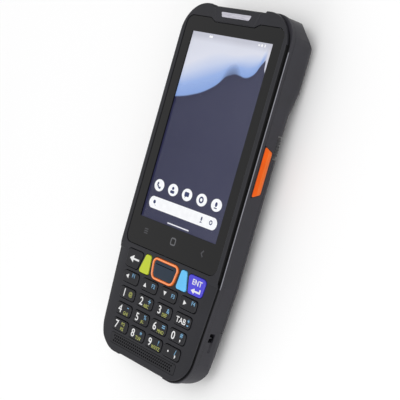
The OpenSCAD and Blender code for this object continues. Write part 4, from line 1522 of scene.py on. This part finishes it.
    def ring_piece(self) -> bpy.types.Object:
        """Builds the ring with its rounded top; the whole ring has a painted glow, and the flat band on top a painted
        highlight.

        Returns:
            The object, linked into the scene.
        """
        low, top, w = self.levels[1], self.ring_top, self.ring_w
        half = [(low, 0.0), (top - 0.45, 0.0), (top - 0.2, 0.08), (top - 0.05, 0.28), (top, 0.5)]
        made = Solid()
        made.rail(self.ring_outline(), half + [(z, w - inset) for z, inset in reversed(half)])
        # The flat band on top gets the painted highlight.
        n = len(made.points) // (2 * len(half))
        middle = (len(half) - 1) * n
        made.numbers[middle:middle + n] = [1] * n
        return made.make("scan_ring_light", [Finish.RING, Finish.RING_CORE])

    def build(self) -> list[bpy.types.Object]:
        """Builds and seats every key and its printing.

        Returns:
            The pieces, each seated on its body.
        """
        made = []
        inks = [Finish.LEGEND, Finish.LEGEND_LIME, Finish.LEGEND_BLUE]
        for key in self.faces():
            piece = self.cap_solid(key.outline).make(key.node + "_cap", [key.finish])
            made.append(seat(piece, key.node, key.slot, key.node))
            if key.signs:
                print_ = legend(key.node + "_print", key.signs, self.levels[2] + 0.001, inks)
                made.append(seat(print_, key.node, key.slot))
        made.append(seat(self.scan_key(), "key_scan", "scan_key_plastic", "key_scan"))
        made.append(seat(self.ring_piece(), "key_scan", "ring_plastic", "scan_ring"))
        return made


@dataclass
class SideKeys:
    """Scan keys on both sides, and the volume and power keys on the left."""

    soft: float = 0.35
    middle: Point = (15.6, 12.5)
    size: Point = (22.2, 5.4)
    slant: float = 2.1
    wall: float = 34.5
    proud: float = 1.1
    margin: float = 0.35
    ridge: float = 1.0

    def outline(self, low: float, high: float) -> Outline:
        """Returns the slanted outline, as length and height, between two heights.

        Args:
            low: The lower height.
            high: The upper height.

        Returns:
            The outline, as pairs of length and height.
        """
        y, half = self.middle[0], self.size[0] / 2
        lean = [self.slant * (self.middle[1] + self.size[1] / 2 - z) / self.size[1] for z in (low, high)]
        return Outline(
            ((y - half + lean[1], high), (y - half + lean[0], low),
             (y + half - lean[0], low), (y + half - lean[1], high)),
            (0.7, 1.1, 1.1, 0.7),
        )

    def scan_key(self, side: int, name: str) -> bpy.types.Object:
        """Builds a side key as a ridged orange bar in a black rubber surround, with a painted shade on its faces that
        turn to the front and painted light on its sloped ones.

        Args:
            side: 1 for the right side, -1 for the left.
            name: The piece's name.

        Returns:
            The object.
        """
        low, high = self.middle[1] - self.size[1] / 2, self.middle[1] + self.size[1] / 2
        wall, top = self.wall, self.wall + self.proud
        made = Solid()
        for levels, number in (
            (((wall - 2.0, 0.0, 0.0), (wall + 0.1, 0.0, 0.0), (wall + 0.22, 0.0, 0.14)), 3),
            (((wall + 0.05, self.margin, 0.0), (wall + 0.32, self.margin, 0.04), (wall + 0.42, self.margin, 0.14),
              (top - 0.1, self.margin + self.ridge, 0.5), (top, self.margin + self.ridge, 0.62)), 0),
        ):
            made.loft([[(side * x, y, z) for y, z in self.outline(low + draw, high - draw).loop(inset)]
                       for x, draw, inset in levels], number)
        key = made.make(name, [Finish.SIDE_KEY, Finish.SIDE_KEY_DEEP, Finish.SIDE_KEY_RIDGE, Finish.BUTTON])
        # Faces turned to the front get a painted shade, sloped faces painted light.
        for face in key.data.polygons:
            if face.material_index == 0 and face.normal.z > 0.3:
                face.material_index = 1 if face.normal.z > 0.85 else 2
        return key

    def build(self) -> list[bpy.types.Object]:
        """Builds and seats the side keys.

        Returns:
            The pieces, each seated on its body.
        """
        made = []
        for node, side in (("side_key_right", 1), ("side_key_left", -1)):
            made.append(seat(self.scan_key(side, node + "_fine"), node, "orange_rubber", node))
        for node in ("volume_key", "power_key"):
            made.append(seat(Softened(node, Finish.BUTTON, self.soft, 3).make(), node, "button_rubber", node))
        return made


@dataclass
class RearBody:
    """Rear housing with its screws, strap posts, windows and socket."""

    bevel: float = 0.25
    screws: tuple[Spot, ...] = ((28.8, -50.0, 7.9), (29.8, 0.0, 7.9), (22.8, 70.5, 0.3))
    head: Point = (1.9, 1.2)
    camera_at: Point = (17.8, 57.0)

    def fasteners(self) -> bpy.types.Object:
        """Builds the screws, each with a round recess in its head.

        Returns:
            The object, linked into the scene.
        """
        r, t = self.head
        profile = ((0.02, 0.75), (0.75, 0.75), (0.85, 0.05), (r - 0.25, 0.0), (r, 0.2), (r, t - 0.1), (0.9, t),
                   (0.88, 8.0), (0.1, 8.2))
        points = [(side * x, y, z) for x, y, z in self.screws for side in (1, -1)]
        return Repeated("screws").set_out("housing_screws_fine", turned_shape(profile), points, Finish.STEEL)

    def camera_rings(self) -> bpy.types.Object:
        """Builds the bright and dark rings that are seen through the camera window.

        Returns:
            The object, linked into the scene.
        """
        x, y = self.camera_at
        made = Solid()
        for outer, inner, low, number in ((4.35, 3.95, 0.03, 0), (2.5, 2.1, 0.06, 1), (1.3, 1.0, 0.06, 1)):
            made.tube(disc(x, y, outer, outer, 48), disc(x, y, inner, inner, 48), low, 0.14, number)
        return made.make("camera_rings", [Finish.DARK_STEEL, Finish.CHIP])

    def build(self) -> list[bpy.types.Object]:
        """Builds and seats the pieces of the back.

        Returns:
            The pieces, each seated on its body.
        """
        # The strap posts get dark steel, which also paints the shade of their pocket.
        for node, finish in (
            ("strap_posts", Finish.DARK_STEEL), ("usb_socket", Finish.BRIGHT), ("scan_window", Finish.SCAN_GLASS),
            ("camera_window", Finish.LENS), ("flash_lens", Finish.FLASH),
        ):
            dress(node, finish)
        shell = Softened("rear_housing", Finish.HOUSING, self.bevel).make()
        return [
            seat(shell, "housing", "housing_plastic", "rear_housing"),
            seat(self.fasteners(), "housing", "screw_steel", "housing_screws"),
            seat(self.camera_rings(), "housing", "camera_glass"),
        ]


@dataclass
class BatteryPack:
    """Hinged battery pack and the two latches that hold its upper end."""

    bevel: float = 0.25

    def build(self) -> list[bpy.types.Object]:
        """Builds and seats the pack and its latches.

        Returns:
            The pieces, each seated on its body.
        """
        dress("battery_cell", Finish.CELL)
        dress("battery_pads", Finish.GOLD)
        dress("battery_contacts", Finish.GOLD)
        made = [seat(Softened("battery_cover", Finish.PACK, self.bevel).make(), "battery_pack", "pack_plastic",
                     "battery_cover")]
        for node in ("latch_right", "latch_left"):
            made.append(seat(Softened(node, Finish.LATCH, 0.12).make(), node, "latch_plastic", node))
        return made


@dataclass
class Inside:
    """Boards and the pieces on them, which show through the openings and when the pack tilts."""

    finishes: tuple[tuple[str, Finish], ...] = (
        ("main_board", Finish.BOARD), ("keypad_board", Finish.BOARD), ("keypad_mat", Finish.SILICONE),
        ("scan_engine", Finish.ENGINE), ("loudspeaker", Finish.SPEAKER), ("vibration_motor", Finish.STEEL),
        ("camera_module", Finish.CHIP), ("side_switches", Finish.SWITCH),
    )

    def build(self) -> list[bpy.types.Object]:
        """Dresses the inner solids.

        Returns:
            No pieces of its own.
        """
        for node, finish in self.finishes:
            dress(node, finish)
        return []


@dataclass
class Studio:
    """Pale floor, soft lights and the camera."""

    rotation: Spot = (-0.06008, -0.8202, -0.28625)
    offset: Spot = (2.14481, 28.71828, -454.27887)
    lift: Spot = (0.0, 24.8, 17.8)
    lens: float = 94.136
    sensor: float = 36.0
    floor_size: float = 12.0
    floor_z: float = -0.0002
    world_level: float = 0.7
    lamps: tuple[tuple[str, Spot, float, float], ...] = (
        ("high", (0.7, 0.2, 2.2), 2.0, 21.0), ("right", (1.6, -0.7, 0.6), 1.0, 4.0),
        ("front", (-0.1, -1.9, 0.9), 1.2, 5.0),
    )

    def camera(self) -> None:
        """Sets up the camera."""
        turn = Vector(self.rotation)
        matrix = Matrix.Rotation(turn.length, 3, turn.normalized())
        back = matrix.transposed()
        place = (back @ Vector(self.offset)) * -1 + Vector(self.lift)
        data = bpy.data.cameras.new("camera")
        data.lens = self.lens
        data.sensor_width = self.sensor
        data.clip_end = 100
        eye = placed("camera", data)
        eye.matrix_world = Matrix.Translation(place * MM) @ back.to_4x4()
        bpy.context.scene.camera = eye

    def area(self, name: str, place: Spot, size: float, power: float) -> None:
        """Adds one square soft light that points at the origin.

        Args:
            name: Its name.
            place: Where it stands, in metres.
            size: Its side, in metres.
            power: Its power in watts.
        """
        data = bpy.data.lights.new(name, "AREA")
        data.energy = power
        data.size = size
        lamp = placed(name, data)
        lamp.location = place
        lamp.rotation_euler = (-Vector(place)).to_track_quat("-Z", "Y").to_euler()

    def floor(self) -> None:
        """Adds the pale floor."""
        half = self.floor_size / 2
        mesh = bpy.data.meshes.new("floor")
        corners = [(x, y, self.floor_z) for x, y in bar(-half, -half, half, half)]
        mesh.from_pydata(corners, [], [(0, 1, 2, 3)])
        mesh.materials.append(Paper("pale_floor").material())
        made = placed("floor", mesh)

    def world(self) -> None:
        """Sets a plain pale world, the same for every ray."""
        made = bpy.data.worlds.new("studio")
        bpy.context.scene.world = made
        made.use_nodes = True
        light = made.node_tree.nodes["Background"]
        light.inputs["Color"].default_value = (1.0, 1.0, 1.0, 1.0)
        light.inputs["Strength"].default_value = self.world_level

    def build(self) -> None:
        """Sets up the whole studio."""
        self.camera()
        self.floor()
        self.world()
        for lamp in self.lamps:
            self.area(*lamp)


def main() -> None:
    """Builds every sub-assembly, then the studio."""
    logging.basicConfig(level=logging.INFO, format="%(message)s")
    for part in (FrontFace(), Screen(), Keypad(), SideKeys(), RearBody(), BatteryPack(), Inside()):
        pieces = part.build()
        LOG.info("%s: %d pieces", type(part).__name__, len(pieces))
    Studio().build()
    scene = bpy.context.scene
    scene.view_settings.view_transform = "Standard"


if __name__ == "__main__":
    main()
